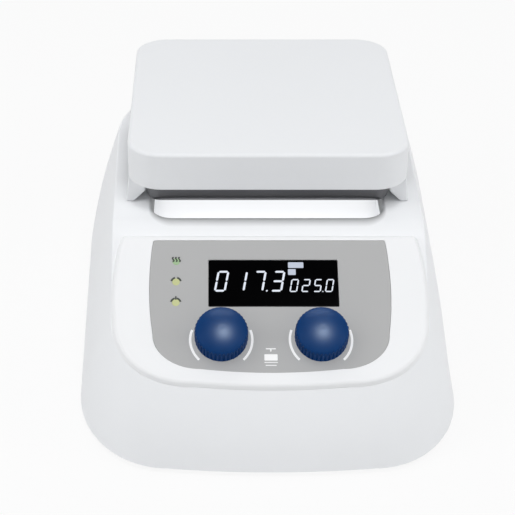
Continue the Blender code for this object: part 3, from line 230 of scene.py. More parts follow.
def effect_group(name, stretch, drift):
    """A group of two noises: a broad one drifts the colour, a fine one roughens the skin."""
    group, given, out = new_group(name, EFFECT_INPUTS, EFFECT_OUTPUTS)
    along = add_node(group, "VectorMath", (given["Vector"], stretch), operation="MULTIPLY")

    def noise(scale, detail):
        inputs = {"Vector": along.outputs[0], "Scale": scale, "Detail": detail}
        return add_node(group, "TexNoise", inputs).outputs["Fac"]

    fine, broad = noise(given["Scale"], FINE_DETAIL), noise(drift, BROAD_DETAIL)
    soft = maths(group, "MULTIPLY", broad, 1 - FINE_SHARE)
    both = maths(group, "MULTIPLY_ADD", fine, FINE_SHARE, soft)
    colour = add_node(group, "Mix", {"Factor": both, "A": given["Tint"], "B": given["Second Tint"]},
                      data_type="RGBA")
    swing = maths(group, "SUBTRACT", both, 0.5)
    rough = maths(group, "MULTIPLY_ADD", swing, given["Spread"], given["Roughness"])
    feed(group, out, {"Color": colour.outputs["Result"], "Roughness": rough, "Height": fine})
    return group


moulded_grain = effect_group("moulded_grain", (1.0, 1.0, 1.0), 14.0)
rolled_lines = effect_group("rolled_lines", (1.0, 30.0, 30.0), 6.0)
turned_lines = effect_group("turned_lines", (4.0, 4.0, 60.0), 6.0)
print("effects:", moulded_grain.name, rolled_lines.name, turned_lines.name)

# %% [markdown]
# A material is then one shader, one effect and one bump. Numbers that are the same all over
# the piece, such as how metallic it is, are set on the shader's own sockets. Each row of the
# tables gives two tints, the roughness and its spread, the grain, and its depth in microns.

# %% Material maker
MICRON = 0.000001
FINISHES = {}


def finish(name, effect, tint, second, roughness, spread, grain, microns, **constant):
    """A Principled material whose colour, roughness and bump come from an effect."""
    material = FINISHES[name] = bpy.data.materials.new(name)
    material.use_nodes = True
    material.diffuse_color = (*tint, 1.0)
    tree = material.node_tree
    pattern = add_node(tree, "Group", {
        "Vector": add_node(tree, "TexCoord").outputs["Object"], "Tint": (*tint, 1.0),
        "Second Tint": (*second, 1.0), "Scale": grain, "Roughness": roughness, "Spread": spread,
    }, node_tree=effect).outputs
    bump = add_node(tree, "Bump", {
        "Strength": 1.0, "Distance": microns * MICRON, "Height": pattern["Height"]})
    coloured = "Emission Color" if "Emission Strength" in constant else "Base Color"
    feed(tree, tree.nodes["Principled BSDF"], {
        coloured: pattern["Color"], "Roughness": pattern["Roughness"],
        "Normal": bump.outputs["Normal"], **constant})


# %% Plastics, enamel, rubber and ink
FINE, PRINT_GRAIN = 2600, 3800
PLASTICS = {  # the last value is the shader's specular level
    "casing_white": ((0.83, 0.84, 0.855), (0.86, 0.87, 0.885), 0.46, 0.10, FINE, 14, 0.35),
    "support_white": ((0.76, 0.77, 0.785), (0.80, 0.81, 0.825), 0.46, 0.10, FINE, 14, 0.5),
    "enamel_white": ((0.80, 0.81, 0.825), (0.83, 0.84, 0.855), 0.46, 0.08, 420, 8, 0.3),
    "pad_white": ((0.83, 0.835, 0.845), (0.86, 0.865, 0.875), 0.46, 0.08, FINE, 8, 0.3),
    "sheet_grey": ((0.415, 0.415, 0.415), (0.445, 0.445, 0.445), 0.55, 0.10, PRINT_GRAIN, 10, 0.3),
    "pane_black": ((0.0006, 0.0006, 0.0008), (0.0010, 0.0010, 0.0014), 0.08, 0.03, 500, 1, 0.05),
    "dial_blue": ((0.0015, 0.031, 0.128), (0.0022, 0.038, 0.150), 0.42, 0.06, FINE, 5, 0.06),
    "fitting_black": ((0.012, 0.012, 0.013), (0.022, 0.022, 0.023), 0.42, 0.14, FINE, 14, 0.5),
    "foot_rubber": ((0.018, 0.018, 0.018), (0.035, 0.034, 0.033), 0.85, 0.12, 900, 40, 0.25),
    "ink_white": ((0.92, 0.92, 0.92), (0.95, 0.95, 0.95), 0.55, 0.08, PRINT_GRAIN, 4, 0.5),
    "ink_dark": ((0.045, 0.055, 0.045), (0.065, 0.075, 0.062), 0.55, 0.08, PRINT_GRAIN, 4, 0.5),
}

for name, (*look, level) in PLASTICS.items():
    finish(name, moulded_grain, *look, **{"Specular IOR Level": level})
print(len(PLASTICS), "plastics made")

# %% Metals and what is inside
METALS = {  # the effect comes first, and the last value says how metallic it is
    "tray_dark": (rolled_lines, (0.10, 0.101, 0.106), (0.15, 0.15, 0.157), 0.30, 0.14, 240, 6, 0.9),
    "plated_steel": (turned_lines, (0.56, 0.57, 0.58), (0.66, 0.66, 0.66), 0.32, 0.14, 160, 4, 1.0),
    "plain_alloy": (rolled_lines, (0.66, 0.665, 0.67), (0.76, 0.765, 0.77), 0.4, 0.14, 160, 6, 1.0),
    "turned_brass": (turned_lines, (0.62, 0.43, 0.17), (0.72, 0.52, 0.22), 0.30, 0.12, 200, 4, 1.0),
    "nickel": (turned_lines, (0.48, 0.47, 0.45), (0.58, 0.57, 0.55), 0.22, 0.10, 160, 2, 1.0),
    "winding": (rolled_lines, (0.36, 0.13, 0.05), (0.58, 0.25, 0.10), 0.40, 0.15, 300, 60, 0.0),
    "heater_coat": (moulded_grain, (0.42, 0.38, 0.34), (0.58, 0.53, 0.48), 0.7, 0.14, 700, 30, 0.0),
    "fibre_pad": (rolled_lines, (0.78, 0.76, 0.70), (0.92, 0.90, 0.85), 0.95, 0.05, 60, 120, 0.0),
    "board_lacquer": (moulded_grain, (0.008, 0.09, 0.035), (0.02, 0.18, 0.075),
                      0.38, 0.16, 220, 10, 0.0),
}

for name, (*look, metallic) in METALS.items():
    finish(name, *look, Metallic=metallic)
print(len(METALS), "metals and inner finishes made")

# %% [markdown]
# The reading and the lamps shine. Their glow is the effect's own colour, so that it is not
# quite even over a bar, as behind a real display film. The film itself is dark, so that the
# studio light adds nothing to it.

# %% Glowing finishes, and a finish for every slot
SHINE = {"Emission Strength": 1.0, "Base Color": (0.02, 0.02, 0.022, 1.0)}
GLOWS = {
    "digit_glow": ((0.70, 0.75, 0.85), (0.77, 0.82, 0.90), 0.50, 0.05, 900, 1),
    "field_glow": ((0.45, 0.50, 0.61), (0.52, 0.57, 0.67), 0.50, 0.05, 900, 1),
    "lamp_green": ((0.26, 0.41, 0.21), (0.33, 0.48, 0.27), 0.35, 0.10, 900, 2),
    "lamp_lime": ((0.45, 0.48, 0.20), (0.51, 0.54, 0.26), 0.35, 0.10, 900, 2),
}
BY_SLOT = {
    "housing": "casing_white", "supports": "support_white", "plate": "enamel_white",
    "bezel": "pad_white", "panel": "sheet_grey", "window": "pane_black", "knob": "dial_blue",
    "black_plastic": "fitting_black", "lamp_green": "lamp_green", "lamp_amber": "lamp_lime",
    "board": "board_lacquer", "dark_steel": "tray_dark", "steel": "plated_steel",
    "alloy": "plain_alloy", "brass": "turned_brass", "transformer": "winding",
    "heater": "heater_coat", "fibre": "fibre_pad", "magnet": "nickel", "rubber": "foot_rubber",
}

for name, look in GLOWS.items():
    finish(name, moulded_grain, *look, **SHINE)
print(len(BY_SLOT), "slots have a finish")

# %% [markdown]
# ## How the pieces are modelled
# Most pieces here are drawn in one way: one outline as a ring of edges, extruded from level
# to level. Every level has its own outline, with as many points as the first, so walls can
# lean, swell and round over.

# %% Helpers that model with operators
MERGE = 0.000001


def make_active(piece):
    """Select only this piece."""
    bpy.ops.object.select_all(action="DESELECT")
    piece.select_set(True)
    bpy.context.view_layer.objects.active = piece


def select_points(piece, points):
    """In edit mode, select the vertices at these places."""
    wanted = {tuple(round(c, 6) for c in p) for p in points}
    shape = bmesh.from_edit_mesh(piece.data)
    for vertex in shape.verts:
        vertex.select = tuple(round(c, 6) for c in vertex.co) in wanted
    shape.select_flush_mode()
    bmesh.update_edit_mesh(piece.data)


def close_outwards():
    """Turn all faces outwards and leave edit mode."""
    bpy.ops.mesh.select_all(action="SELECT")
    bpy.ops.mesh.normals_make_consistent(inside=False)
    bpy.ops.object.mode_set(mode="OBJECT")


def grow(name, rings, closed=False, caps=True):
    """Extrude a ring of edges from outline to outline, then fill its ends."""
    bpy.ops.object.select_all(action="DESELECT")
    bpy.ops.mesh.primitive_circle_add(vertices=len(rings[0]), fill_type="NOTHING")
    piece = bpy.context.object
    piece.name = piece.data.name = name
    for vertex, point in zip(piece.data.vertices, rings[0]):
        vertex.co = point
    first = [v.co.copy() for v in piece.data.vertices]
    at = {tuple(co): i for i, co in enumerate(first)}
    bpy.ops.object.mode_set(mode="EDIT")
    bpy.ops.mesh.select_mode(type="VERT")
    bpy.ops.mesh.select_all(action="SELECT")
    for ring in rings[1:] + ([rings[0]] if closed else []):
        bpy.ops.mesh.extrude_edges_indiv()
        moved = {}
        for vertex in (v for v in bmesh.from_edit_mesh(piece.data).verts if v.select):
            i = at[tuple(vertex.co)]
            vertex.co = ring[i]
            moved[tuple(vertex.co)] = i
        at = moved
        bmesh.update_edit_mesh(piece.data)
    if closed:
        bpy.ops.mesh.select_all(action="SELECT")
        bpy.ops.mesh.remove_doubles(threshold=MERGE)
    elif caps:
        bpy.ops.mesh.edge_face_add()
        select_points(piece, first)
        bpy.ops.mesh.edge_face_add()
    close_outwards()
    return piece


def apply_modifier(piece, kind, **settings):
    """Add a modifier, set it and apply it."""
    make_active(piece)
    modifier = piece.modifiers.new(kind.title(), kind)
    for key, value in settings.items():
        setattr(modifier, key, value)
    bpy.ops.object.modifier_apply(modifier=modifier.name)


def joined(name, pieces):
    """Several pieces made one object."""
    make_active(pieces[0])
    for piece in pieces:
        piece.select_set(True)
    bpy.ops.object.join()
    pieces[0].name = pieces[0].data.name = name
    return pieces[0]


def combine(piece, tools, operation="DIFFERENCE"):
    """Cut tools from a piece, or join them on, with an exact Boolean."""
    tool = joined("cutting_tool", tools)
    apply_modifier(piece, "BOOLEAN", operation=operation, solver="EXACT", object=tool)
    bpy.data.objects.remove(tool, do_unlink=True)


def copied(piece, name, matrix):
    """A copy with its own mesh, moved within that mesh."""
    twin = piece.copy()
    twin.data = piece.data.copy()
    twin.name = twin.data.name = name
    twin.data.transform(matrix)
    scene.collection.objects.link(twin)
    return twin


def dress(piece, body, slot, *nodes, look=None, angle=35):
    """Shade, paint and mount a finished piece. Its slot says the finish, if no look does."""
    piece.data.materials.clear()
    piece.data.materials.append(FINISHES[look or BY_SLOT[slot]])
    make_active(piece)
    bpy.ops.object.shade_smooth_by_angle(angle=math.radians(angle))
    apply_modifier(piece, "WEIGHTED_NORMAL", keep_sharp=True)
    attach(piece, body)
    if nodes:
        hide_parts(*nodes)
    print(piece.name, len(piece.data.polygons), "faces, rides on", body)
    return piece


print("modelling helpers ready")

# %% [markdown]
# ## The housing
# The real housing is one injection-moulded shell: a skirt that flares to the table, a flat
# deck, and a console that slopes down to the front. Its plan has a bowed front and elliptic
# corners. It could be subdivided from a box, but then its corners would only be near the real
# ones. So its plan is drawn as a function, and the shell is extruded through that plan: up
# the inside, round the bottom edge, up the swelling skirt and over the rounded rim.

# %% Outlines of the housing
HOUSING_BOTTOM, DECK, WALL = 0.0025, 0.091, 0.003
FOLD_Y, FOLD_REACH, SLOPE = -0.036, 0.0045, math.radians(30)
SKIRT_BULGE, RIM_ROUND, FOOT_EASE = 0.002, 0.0010, 0.0010
BASE_PLAN = dict(front=-0.135, rear=0.135, half_front=0.1014, half_rear=0.1065, bow=0.003,
                 corner=(0.049, 0.066), rear_corner=(0.042, 0.042))
RIM_PLAN = dict(front=-0.1192, rear=0.121, half_front=0.0818, half_rear=0.0852, bow=0.002,
                corner=(0.0362, 0.0322), rear_corner=(0.034, 0.050))
FRONT_STEPS, FRONT_TURN, SIDE_STEPS, FOLD_STEPS, REAR_TURN = 6, 24, 4, 10, 14
FOLD_START = FRONT_STEPS + FRONT_TURN + SIDE_STEPS
FOLD_END = FOLD_START + FOLD_STEPS


def arc(cx, cy, rx, ry, start, end, steps):
    """Points of an elliptic arc, both ends included; angles in degrees."""
    angles = [math.radians(start + (end - start) * i / steps) for i in range(steps + 1)]
    return [(cx + rx * math.cos(a), cy + ry * math.sin(a)) for a in angles]


def bowed_front(start_x, front, bow):
    """The front edge, from the middle line to where the corner starts."""
    shares = [i / FRONT_STEPS for i in range(FRONT_STEPS)]
    return [(start_x * share, front + bow * share ** 2) for share in shares]


def mirrored(half):
    """A whole loop from its right half, which starts and ends on the middle line."""
    return half + [(-x, y) for x, y in half[-2:0:-1]]


def plan_outline(plan, fold, inset=0.0):
    """One level of the housing. Its sides have points at the fold."""
    corner_x, corner_y = plan["corner"]
    start_x = plan["half_front"] - corner_x
    start_y = plan["front"] + plan["bow"] + corner_y
    half = bowed_front(start_x, plan["front"] + inset, plan["bow"])
    half += arc(start_x, start_y, corner_x - inset, corner_y - inset, -90, 0, FRONT_TURN)
    rear_x, rear_y = plan["rear_corner"]
    end_y = plan["rear"] - rear_y
    widen = (plan["half_rear"] - plan["half_front"]) / (end_y - start_y)
    near, far = fold - FOLD_REACH, fold + FOLD_REACH
    spans = ((start_y, near, SIDE_STEPS), (near, far, FOLD_STEPS), (far, end_y, SIDE_STEPS))
    for low, high, steps in spans:
        for i in range(1, steps + 1):
            y = low + (high - low) * i / steps
            half.append((plan["half_front"] - inset + widen * (y - start_y), y))
    half += arc(plan["half_rear"] - rear_x, end_y, rear_x - inset, rear_y - inset,
                0, 90, REAR_TURN)[1:]
    half.append((0.0, plan["rear"] - inset))
    return mirrored(half)


def roof_height(y, deck=DECK, fold=FOLD_Y):
    """Height of the deck or the console's slope, with a soft bend between them."""
    ahead = fold + FOLD_REACH - y
    if ahead < 0.0:
        return deck
    if ahead < 2 * FOLD_REACH:
        return deck - math.tan(SLOPE) * ahead ** 2 / (4 * FOLD_REACH)
    return deck - math.tan(SLOPE) * (ahead - FOLD_REACH)


def base_ring(inset, fold=FOLD_Y):
    """The housing's lower edge."""
    return [(x, y, HOUSING_BOTTOM) for x, y in plan_outline(BASE_PLAN, fold, inset)]


def rim_ring(inset, fold=FOLD_Y, deck=DECK):
    """The edge of the deck and the console."""
    return [(x, y, roof_height(y, deck, fold)) for x, y in plan_outline(RIM_PLAN, fold, inset)]


def between(low, high, share):
    """A point on the way from one to the other."""
    return Vector(low).lerp(Vector(high), share)


def swollen(low, high, share):
    """A point of the skirt between its lower and upper edge; the rear wall stays flat."""
    point = between(low, high, share)
    away = Vector((low[0], min(0.0, low[1] - RIM_PLAN["rear"] / 2), 0.0))
    if away.length > 0 and low[1] < RIM_PLAN["rear"]:
        point += away.normalized() * SKIRT_BULGE * math.sin(math.pi * share)
    return point


print(len(base_ring(0.0)), "points in each outline")

# %% Extrude the shell
INNER_LEVELS, SKIRT_LEVELS, RIM_LEVELS = 3, 12, 6

inner_fold = FOLD_Y + WALL * math.tan(SLOPE / 2)
inner_rim, inner_base = rim_ring(WALL, inner_fold, DECK - WALL), base_ring(WALL, inner_fold)
outer_base, outer_rim, rim_edge = base_ring(0.0), rim_ring(0.0), rim_ring(RIM_ROUND)
skirt = DECK - HOUSING_BOTTOM

rings = [inner_rim]
for i in range(1, INNER_LEVELS + 1):
    rings.append([between(a, b, i / INNER_LEVELS) for a, b in zip(inner_rim, inner_base)])
rings.append(base_ring(FOOT_EASE))
for i in range(SKIRT_LEVELS + 1):
    share = max(FOOT_EASE / skirt, (1.0 - RIM_ROUND / skirt) * i / SKIRT_LEVELS)
    rings.append([swollen(a, b, share) for a, b in zip(outer_base, outer_rim)])
shoulder = rings[-1]
for i in range(1, RIM_LEVELS + 1):
    share = i / RIM_LEVELS
    rings.append([between(between(a, b, share), between(b, c, share), share)
                  for a, b, c in zip(shoulder, outer_rim, rim_edge)])
shell = grow("housing_shell", rings, caps=False)

count = len(outer_rim)
bpy.ops.object.mode_set(mode="EDIT")
for ring in (inner_rim, rings[-1]):
    deck_part = ring[FOLD_END:count - FOLD_END + 1]
    console_part = ring[count - FOLD_START:] + ring[:FOLD_START + 1]
    strips = [[ring[i], ring[i + 1], ring[count - i - 1], ring[count - i]]
              for i in range(FOLD_START, FOLD_END)]
    for part in [deck_part, console_part] + strips:
        select_points(shell, part)
        bpy.ops.mesh.edge_face_add()
close_outwards()
print("shell", len(shell.data.vertices), "points")

# %% [markdown]
# Under the plate the deck sinks into a shallow well, with a rolled lip that guides spills
# away from the motor shaft. The well's tub is joined on from below, then the hollow with its
# lip is cut, because a lip is easier to draw as the shape that is missing. Straight tools,
# round or square, come from two small functions.

# %% The well, its tub and the screw bosses
WELL_HALF, WELL_FRONT, WELL_REAR, WELL_DEPTH = 0.0616, -0.0264, 0.101, 0.012
WELL_LIP, LIP_SIDE, LIP_LEVELS, WELL_CORNER = 0.0065, 0.4, 8, 0.0105
WELL_MIDDLE, WELL_LENGTH = (WELL_FRONT + WELL_REAR) / 2, (WELL_REAR - WELL_FRONT) / 2
WELL_FLOOR = DECK - WELL_DEPTH
BOSS_RADIUS, BOSS_LOW, BOSS_REACH, BOSS_POINTS = 0.005, 0.0063, 0.040, 20
BOSSES = [(-0.070, -0.086), (-0.080, 0.108), (0.070, -0.086), (0.080, 0.108)]


def rounded(half_x, half_y, corner, z, x=0.0, y=0.0, steps=10):
    """A rounded rectangle, anticlockwise."""
    points = []
    for side_x, side_y, start in ((1, -1, -90), (1, 1, 0), (-1, 1, 90), (-1, -1, 180)):
        centre = (x + side_x * (half_x - corner), y + side_y * (half_y - corner))
        points += [(px, py, z) for px, py in arc(*centre, corner, corner, start, start + 90, steps)]
    return points


def circle(radius, z, x=0.0, y=0.0, count=32):
    """A level ring of points."""
    angles = [2 * math.pi * i / count for i in range(count)]
    return [(x + radius * math.cos(a), y + radius * math.sin(a), z) for a in angles]


def placed(matrix, rings):
    """Outlines drawn in a frame, in the object's own coordinates."""
    return [[matrix @ Vector(p) for p in ring] for ring in rings]


def rod(radius, low, high, x=0.0, y=0.0, count=32, at=Matrix()):
    """A straight round tool."""
    return grow("tool", placed(at, [circle(radius, z, x, y, count) for z in (low, high)]))


def block(half_x, half_y, corner, low, high, x=0.0, y=0.0, steps=4, at=Matrix()):
    """A straight square tool with rounded corners."""
    return grow("tool", placed(at, [
        rounded(half_x, half_y, corner, z, x, y, steps) for z in (low, high)]))


def well_ring(z, sides=0.0, ends=0.0):
    """The well's outline, wider at its sides and longer at its ends."""
    return rounded(WELL_HALF + sides, WELL_LENGTH + ends, WELL_CORNER + sides, z, 0.0, WELL_MIDDLE)


tub = grow("tub", [well_ring(z, WALL, WALL) for z in (WELL_FLOOR - WALL, DECK - WALL / 2)])
bosses = [rod(BOSS_RADIUS, BOSS_LOW, min(BOSS_REACH, roof_height(y) - WALL), x, y, BOSS_POINTS)
          for x, y in BOSSES]
combine(shell, [tub] + bosses, "UNION")

levels = [well_ring(WELL_FLOOR)]
for step in range(LIP_LEVELS, -1, -1):
    turn = math.radians(90 * step / LIP_LEVELS)
    spread, drop = WELL_LIP * (1 - math.sin(turn)), WELL_LIP * (1 - math.cos(turn))
    levels.append(well_ring(DECK - drop, spread * LIP_SIDE, spread))
levels.append([(x, y, DECK + WELL_LIP) for x, y, _ in levels[-1]])
combine(shell, [grow("well_hollow", levels)])
print("well cut,", len(shell.data.polygons), "faces")

# %% [markdown]
# The console has its own frame: x across, y up the slope, z out of it. The rear wall leans
# forward, and its frame looks out backwards. Pieces there are drawn flat in their frame and
# then placed, so that the sizes stay readable.

# %% Frames of the console and the rear wall, and the openings
CONSOLE = Matrix.Translation((0.0, FOLD_Y, DECK)) @ Matrix.Rotation(SLOPE, 4, "X")
REAR_LEAN = math.atan2(BASE_PLAN["rear"] - RIM_PLAN["rear"], skirt)
ENTRY_RISE = skirt * 0.514
ENTRY_Y = BASE_PLAN["rear"] - ENTRY_RISE * math.tan(REAR_LEAN)
REAR = (Matrix.Translation((0.0, ENTRY_Y, HOUSING_BOTTOM + ENTRY_RISE))
        @ Matrix.Rotation(math.pi, 4, "Z") @ Matrix.Rotation(math.pi / 2 - REAR_LEAN, 4, "X"))
WINDOW_X, WINDOW_Y, WINDOW_CORNER, WINDOW_AT = 0.0334, 0.01335, 0.0006, (0.0018, -0.0372)
WINDOW_RIM, FIT = 0.0023, 0.0003
LAMPS = {"heat": (-0.0486, -0.0247), "stir": (-0.0486, -0.0366), "power": (-0.0486, -0.0485)}
LAMP_RADIUS, BUSH = 0.0016, 0.0035
KNOBS = ((-0.0253, -0.0694), (0.0253, -0.0694))
PLATE_Y, BOLT_X, SUPPORT_YS = 0.046, 0.071, (-0.0034, 0.085)
BOLT_HOLE, SHAFT_HOLE, MOTOR_HOLE = 0.00205, 0.006, 0.0018
SCREW_HOLE, SCREW_DEPTH = 0.00175, 0.0186
MOTOR_REACH = 0.0155 / math.sqrt(2)
CUT_BELOW, CUT_ABOVE = 0.006, 0.003


def window_ring(z, inset=0.0):
    """The window's outline on the console, inset or, with a minus, widened."""
    return rounded(WINDOW_X - inset, WINDOW_Y - inset, WINDOW_CORNER - max(inset, 0.0), z,
                   *WINDOW_AT, 4)


def console_tools(low, high, window_gap):
    """Cutters for the window, the three lamps and the two knob bushes."""
    tools = [grow("tool", placed(CONSOLE, [window_ring(z, -window_gap) for z in (low, high)]))]
    for radius, places in ((LAMP_RADIUS, LAMPS.values()), (BUSH, KNOBS)):
        tools += [rod(radius + FIT, low, high, x, y, at=CONSOLE) for x, y in places]
    return tools


def through(radius, height, x, y):
    """A drill through the wall at a height."""
    return rod(radius, height - CUT_BELOW, height + CUT_ABOVE, x, y)


combine(shell, console_tools(-2 * WALL, WALL, WINDOW_RIM))
holes = [through(SHAFT_HOLE, WELL_FLOOR, 0.0, PLATE_Y)]
for side in (-1, 1):
    holes += [through(MOTOR_HOLE, WELL_FLOOR, side * MOTOR_REACH, PLATE_Y + end * MOTOR_REACH)
              for end in (-1, 1)]
    holes += [through(BOLT_HOLE, DECK, side * BOLT_X, y) for y in SUPPORT_YS]
holes += [rod(SCREW_HOLE, HOUSING_BOTTOM, SCREW_DEPTH, x, y, BOSS_POINTS) for x, y in BOSSES]
combine(shell, holes)
print("openings cut,", len(shell.data.polygons), "faces")

# %% [markdown]
# Warm air leaves through two groups of upright slots in the rear wall. Each slot is one
# stadium outline that flares at the skin, so that its mouth has a small moulded chamfer.

# %% Rear wall: vent slots and the hole for the power entry
VENT_HALF, VENT_REACH, VENT_RISE, VENT_FLARE = 0.0015, 0.011, 0.012, 0.0005
VENT_XS = [side * (0.032 + 0.008 * i) for side in (-1, 1) for i in range(4)]
VENT_LEVELS = ((-3 * WALL, 0.0), (-VENT_FLARE, 0.0), (0.0, VENT_FLARE), (WALL, VENT_FLARE))
NEARLY_ROUND = 0.999  # a full half circle would double the slot's end points
ENTRY_HALF, ENTRY_CORNER = (0.014, 0.029), 0.001


def vent_ring(x, z, flare):
    """An upright slot with round ends."""
    half = VENT_HALF + flare
    return rounded(half, VENT_REACH + flare, half * NEARLY_ROUND, z, x, VENT_RISE, 8)


slots = [grow("tool", placed(REAR, [vent_ring(x, z, flare) for z, flare in VENT_LEVELS]))
         for x in VENT_XS]
hole = [half + FIT for half in ENTRY_HALF]
slots.append(block(*hole, ENTRY_CORNER, -3 * WALL, 2 * WALL, steps=3, at=REAR))
combine(shell, slots)
print("slots cut,", len(shell.data.polygons), "faces")

# %% [markdown]
# The plate's soft shadow on the lip that rolls under it is painted shade: a grey that the
# casing's material mixes in. Its mask is made from the place of the well alone, so it looks the
# same from everywhere: full at the well's edge, and gone a few millimetres out.

# %% Painted shade of the plate on the rolled lip
# The grey of the painted shade, and how far it reaches from the well's edge at the sides and in
# front.
SHADE_START, SHADE_SIDE, SHADE_FRONT = 0.003, 0.0026, 0.0085
PAINTED_SHADE_GREY = (0.20, 0.203, 0.206, 1.0)


def painted_shade_group():
    """A group that puts out how much painted shade of the plate lies at a place."""
    group, given, out = new_group("lip_painted_shade", {"Vector": "Vector"}, {"Painted Shade": "Float"})
    place = add_node(group, "SeparateXYZ", (given["Vector"],)).outputs

    def sums(operation, *inputs):
        return maths(group, operation, *inputs)

    def past(distance, edge):
        beyond = sums("SUBTRACT", sums("ABSOLUTE", distance), edge - WELL_CORNER)
        return sums("MAXIMUM", beyond, 0.0)

    across = past(place["X"], WELL_HALF)
    along = past(sums("SUBTRACT", place["Y"], WELL_MIDDLE), WELL_LENGTH + SHADE_START)
    square = sums("MULTIPLY", along, along)
    far = sums("ADD", sums("MULTIPLY", across, across), square)
    fade = sums("MULTIPLY", sums("DIVIDE", square, far), SHADE_FRONT - SHADE_SIDE)
    away = sums("SUBTRACT", sums("SQRT", far), WELL_CORNER)
    away = sums("DIVIDE", away, sums("ADD", fade, SHADE_SIDE))
    shade_share = add_node(group, "MapRange", {"Value": away, "To Min": 1.0, "To Max": 0.0})
    above = add_node(group, "MapRange", {
        "Value": place["Z"], "From Min": DECK - WELL_LIP, "From Max": DECK - WELL_LIP * 0.9})
    feed(group, out, (sums("MULTIPLY", shade_share.outputs["Result"], above.outputs["Result"]),))
    return group


# The casing's colour is mixed towards grey where the plate's shade is painted on the lip.
tree = FINISHES["casing_white"].node_tree
shader, place = tree.nodes["Principled BSDF"], tree.nodes["Texture Coordinate"]
shade_share = add_node(tree, "Group", (place.outputs["Object"],), node_tree=painted_shade_group())
unshaded_colour = shader.inputs["Base Color"].links[0].from_socket
shaded_colour = add_node(tree, "Mix", {"Factor": shade_share.outputs["Painted Shade"], "A": unshaded_colour, "B": PAINTED_SHADE_GREY},
                  data_type="RGBA")
feed(tree, shader, {"Base Color": shaded_colour.outputs["Result"]})
dress(shell, "housing", "housing", "upper_housing", angle=32)

# %% [markdown]
# ## The heating plate
# A cast plate with a deep edge, hollow from below for the heater, under white enamel. Its
# outline stays square with round corners, so it is extruded from the hollow's ceiling down,
# round the lower edge, up the side and over the rounded top edge.

# %% Heating plate
PLATE_HALF, PLATE_TOP, PLATE_BOTTOM, PLATE_CORNER = 0.075, 0.128, 0.1068, 0.0185
PLATE_ROUND, FOOT_ROUND = 0.0018, 0.0008
HOLLOW_HALF, HOLLOW_CORNER, HOLLOW_TOP = 0.066, 0.008, 0.118
SOCKET_LOW, SOCKET_HIGH = 0.0998, 0.1141


def square(half, corner, z):
    """A square outline about the plate's middle."""
    return rounded(half, half, corner, z, 0.0, PLATE_Y, steps=14)


def plate_ring(inset, z):
    """The plate's outline."""
    return square(PLATE_HALF - inset, PLATE_CORNER - inset, z)


def eased(ring, z, radius, steps, top=True, start=0.0):
    """Rings round an edge: from the side in over a top, or out from under a bottom."""
    rings = []
    for i in range(steps + 1):
        turn = math.pi / 2 * i / steps
        rise = radius * (1 - math.sin(turn))
        rings.append(ring(start + radius * (1 - math.cos(turn)), z - rise if top else z + rise))
    return rings if top else rings[::-1]


rings = [square(HOLLOW_HALF, HOLLOW_CORNER, z) for z in (HOLLOW_TOP, PLATE_BOTTOM)]
rings += eased(plate_ring, PLATE_BOTTOM, FOOT_ROUND, 3, top=False)
rings += eased(plate_ring, PLATE_TOP, PLATE_ROUND, 8)
plate = grow("heating_plate", rings)
combine(plate, [rod(BOLT_HOLE, SOCKET_LOW, SOCKET_HIGH, x, y, 20)
                for x in (-BOLT_X, BOLT_X) for y in SUPPORT_YS])
dress(plate, "housing", "plate", "top_plate")

# %% [markdown]
# ## The heat shield tray
# A dark pressed tray closes the plate from below and hangs into the gap. It is a thin sheet
# all over, with a hole for the shaft, so its ring of edges goes round the sheet: along the
# underside, over the rim, back along the inside, and meets itself at the hole.

# %% Heat shield tray
TRAY_HALF, TRAY_CORNER, TRAY_LOW, TRAY_HIGH = 0.0655, 0.0075, 0.0936, 0.1118
TRAY_SHEET, TRAY_ROUND, TRAY_HOLE, TRAY_STEPS = 0.001, 0.0042, 0.008, 6


def tray_ring(inset, z):
    """The tray's outline."""
    return square(TRAY_HALF - inset, TRAY_CORNER - inset, z)


def hole_ring(z):
    """A round hole with a point for each point of the tray's outline."""
    ring = []
    for x, y, _ in tray_ring(0.0, z):
        away = Vector((x, y - PLATE_Y, 0.0)).normalized() * TRAY_HOLE
        ring.append((away.x, PLATE_Y + away.y, z))
    return ring


tray_floor = TRAY_LOW + TRAY_SHEET
inside = eased(tray_ring, tray_floor, TRAY_ROUND - TRAY_SHEET, TRAY_STEPS, False, TRAY_SHEET)
tray = grow("heat_tray", [
    hole_ring(TRAY_LOW), *eased(tray_ring, TRAY_LOW, TRAY_ROUND, TRAY_STEPS, top=False),
    tray_ring(0.0, TRAY_HIGH), tray_ring(TRAY_SHEET, TRAY_HIGH), *inside[::-1],
    hole_ring(tray_floor)], closed=True)
dress(tray, "housing", "dark_steel", "heat_shield_tray")

# %% [markdown]
# ## The plate supports
# Four gussets carry the plate clear of the deck. Each is wide under the plate, then leans
# back to a narrow foot on the deck, and a round boss in it takes the bolt. One is grown between
# its outlines, the boss is joined on and the bore cut. The others are copies, turned half round
# for the left side.

# %% Plate supports
LEG_LOW, LEG_HIGH, LEG_LENGTH, LEG_ROUND, LEG_BOSS = 0.0913, 0.1065, 0.020, 0.0010, 0.0030
LEG_TOP, LEG_FOOT, LEG_FLARE, LEG_KNEE, EASE = 0.0091, 0.0043, 0.0017, 0.0064, 0.0004
BOLT_PLACE = (BOLT_X, SUPPORT_YS[0])


def leg_ring(z, inset=0.0):
    """The gusset's outline: its inner face leans out to a knee, its outer face flares."""
    rise, full = z - LEG_LOW, LEG_HIGH - LEG_LOW
    width = LEG_TOP + LEG_FLARE * (1 - rise / full)
    if rise < LEG_KNEE:
        knee = LEG_TOP + LEG_FLARE * (1 - LEG_KNEE / full)
        width = LEG_FOOT + (knee - LEG_FOOT) * rise / LEG_KNEE
    x = PLATE_HALF + LEG_FLARE * (1 - rise / full) - width / 2
    return rounded(width / 2 - inset, LEG_LENGTH / 2 - inset, LEG_ROUND - inset, z,
                   x, SUPPORT_YS[0], 5)


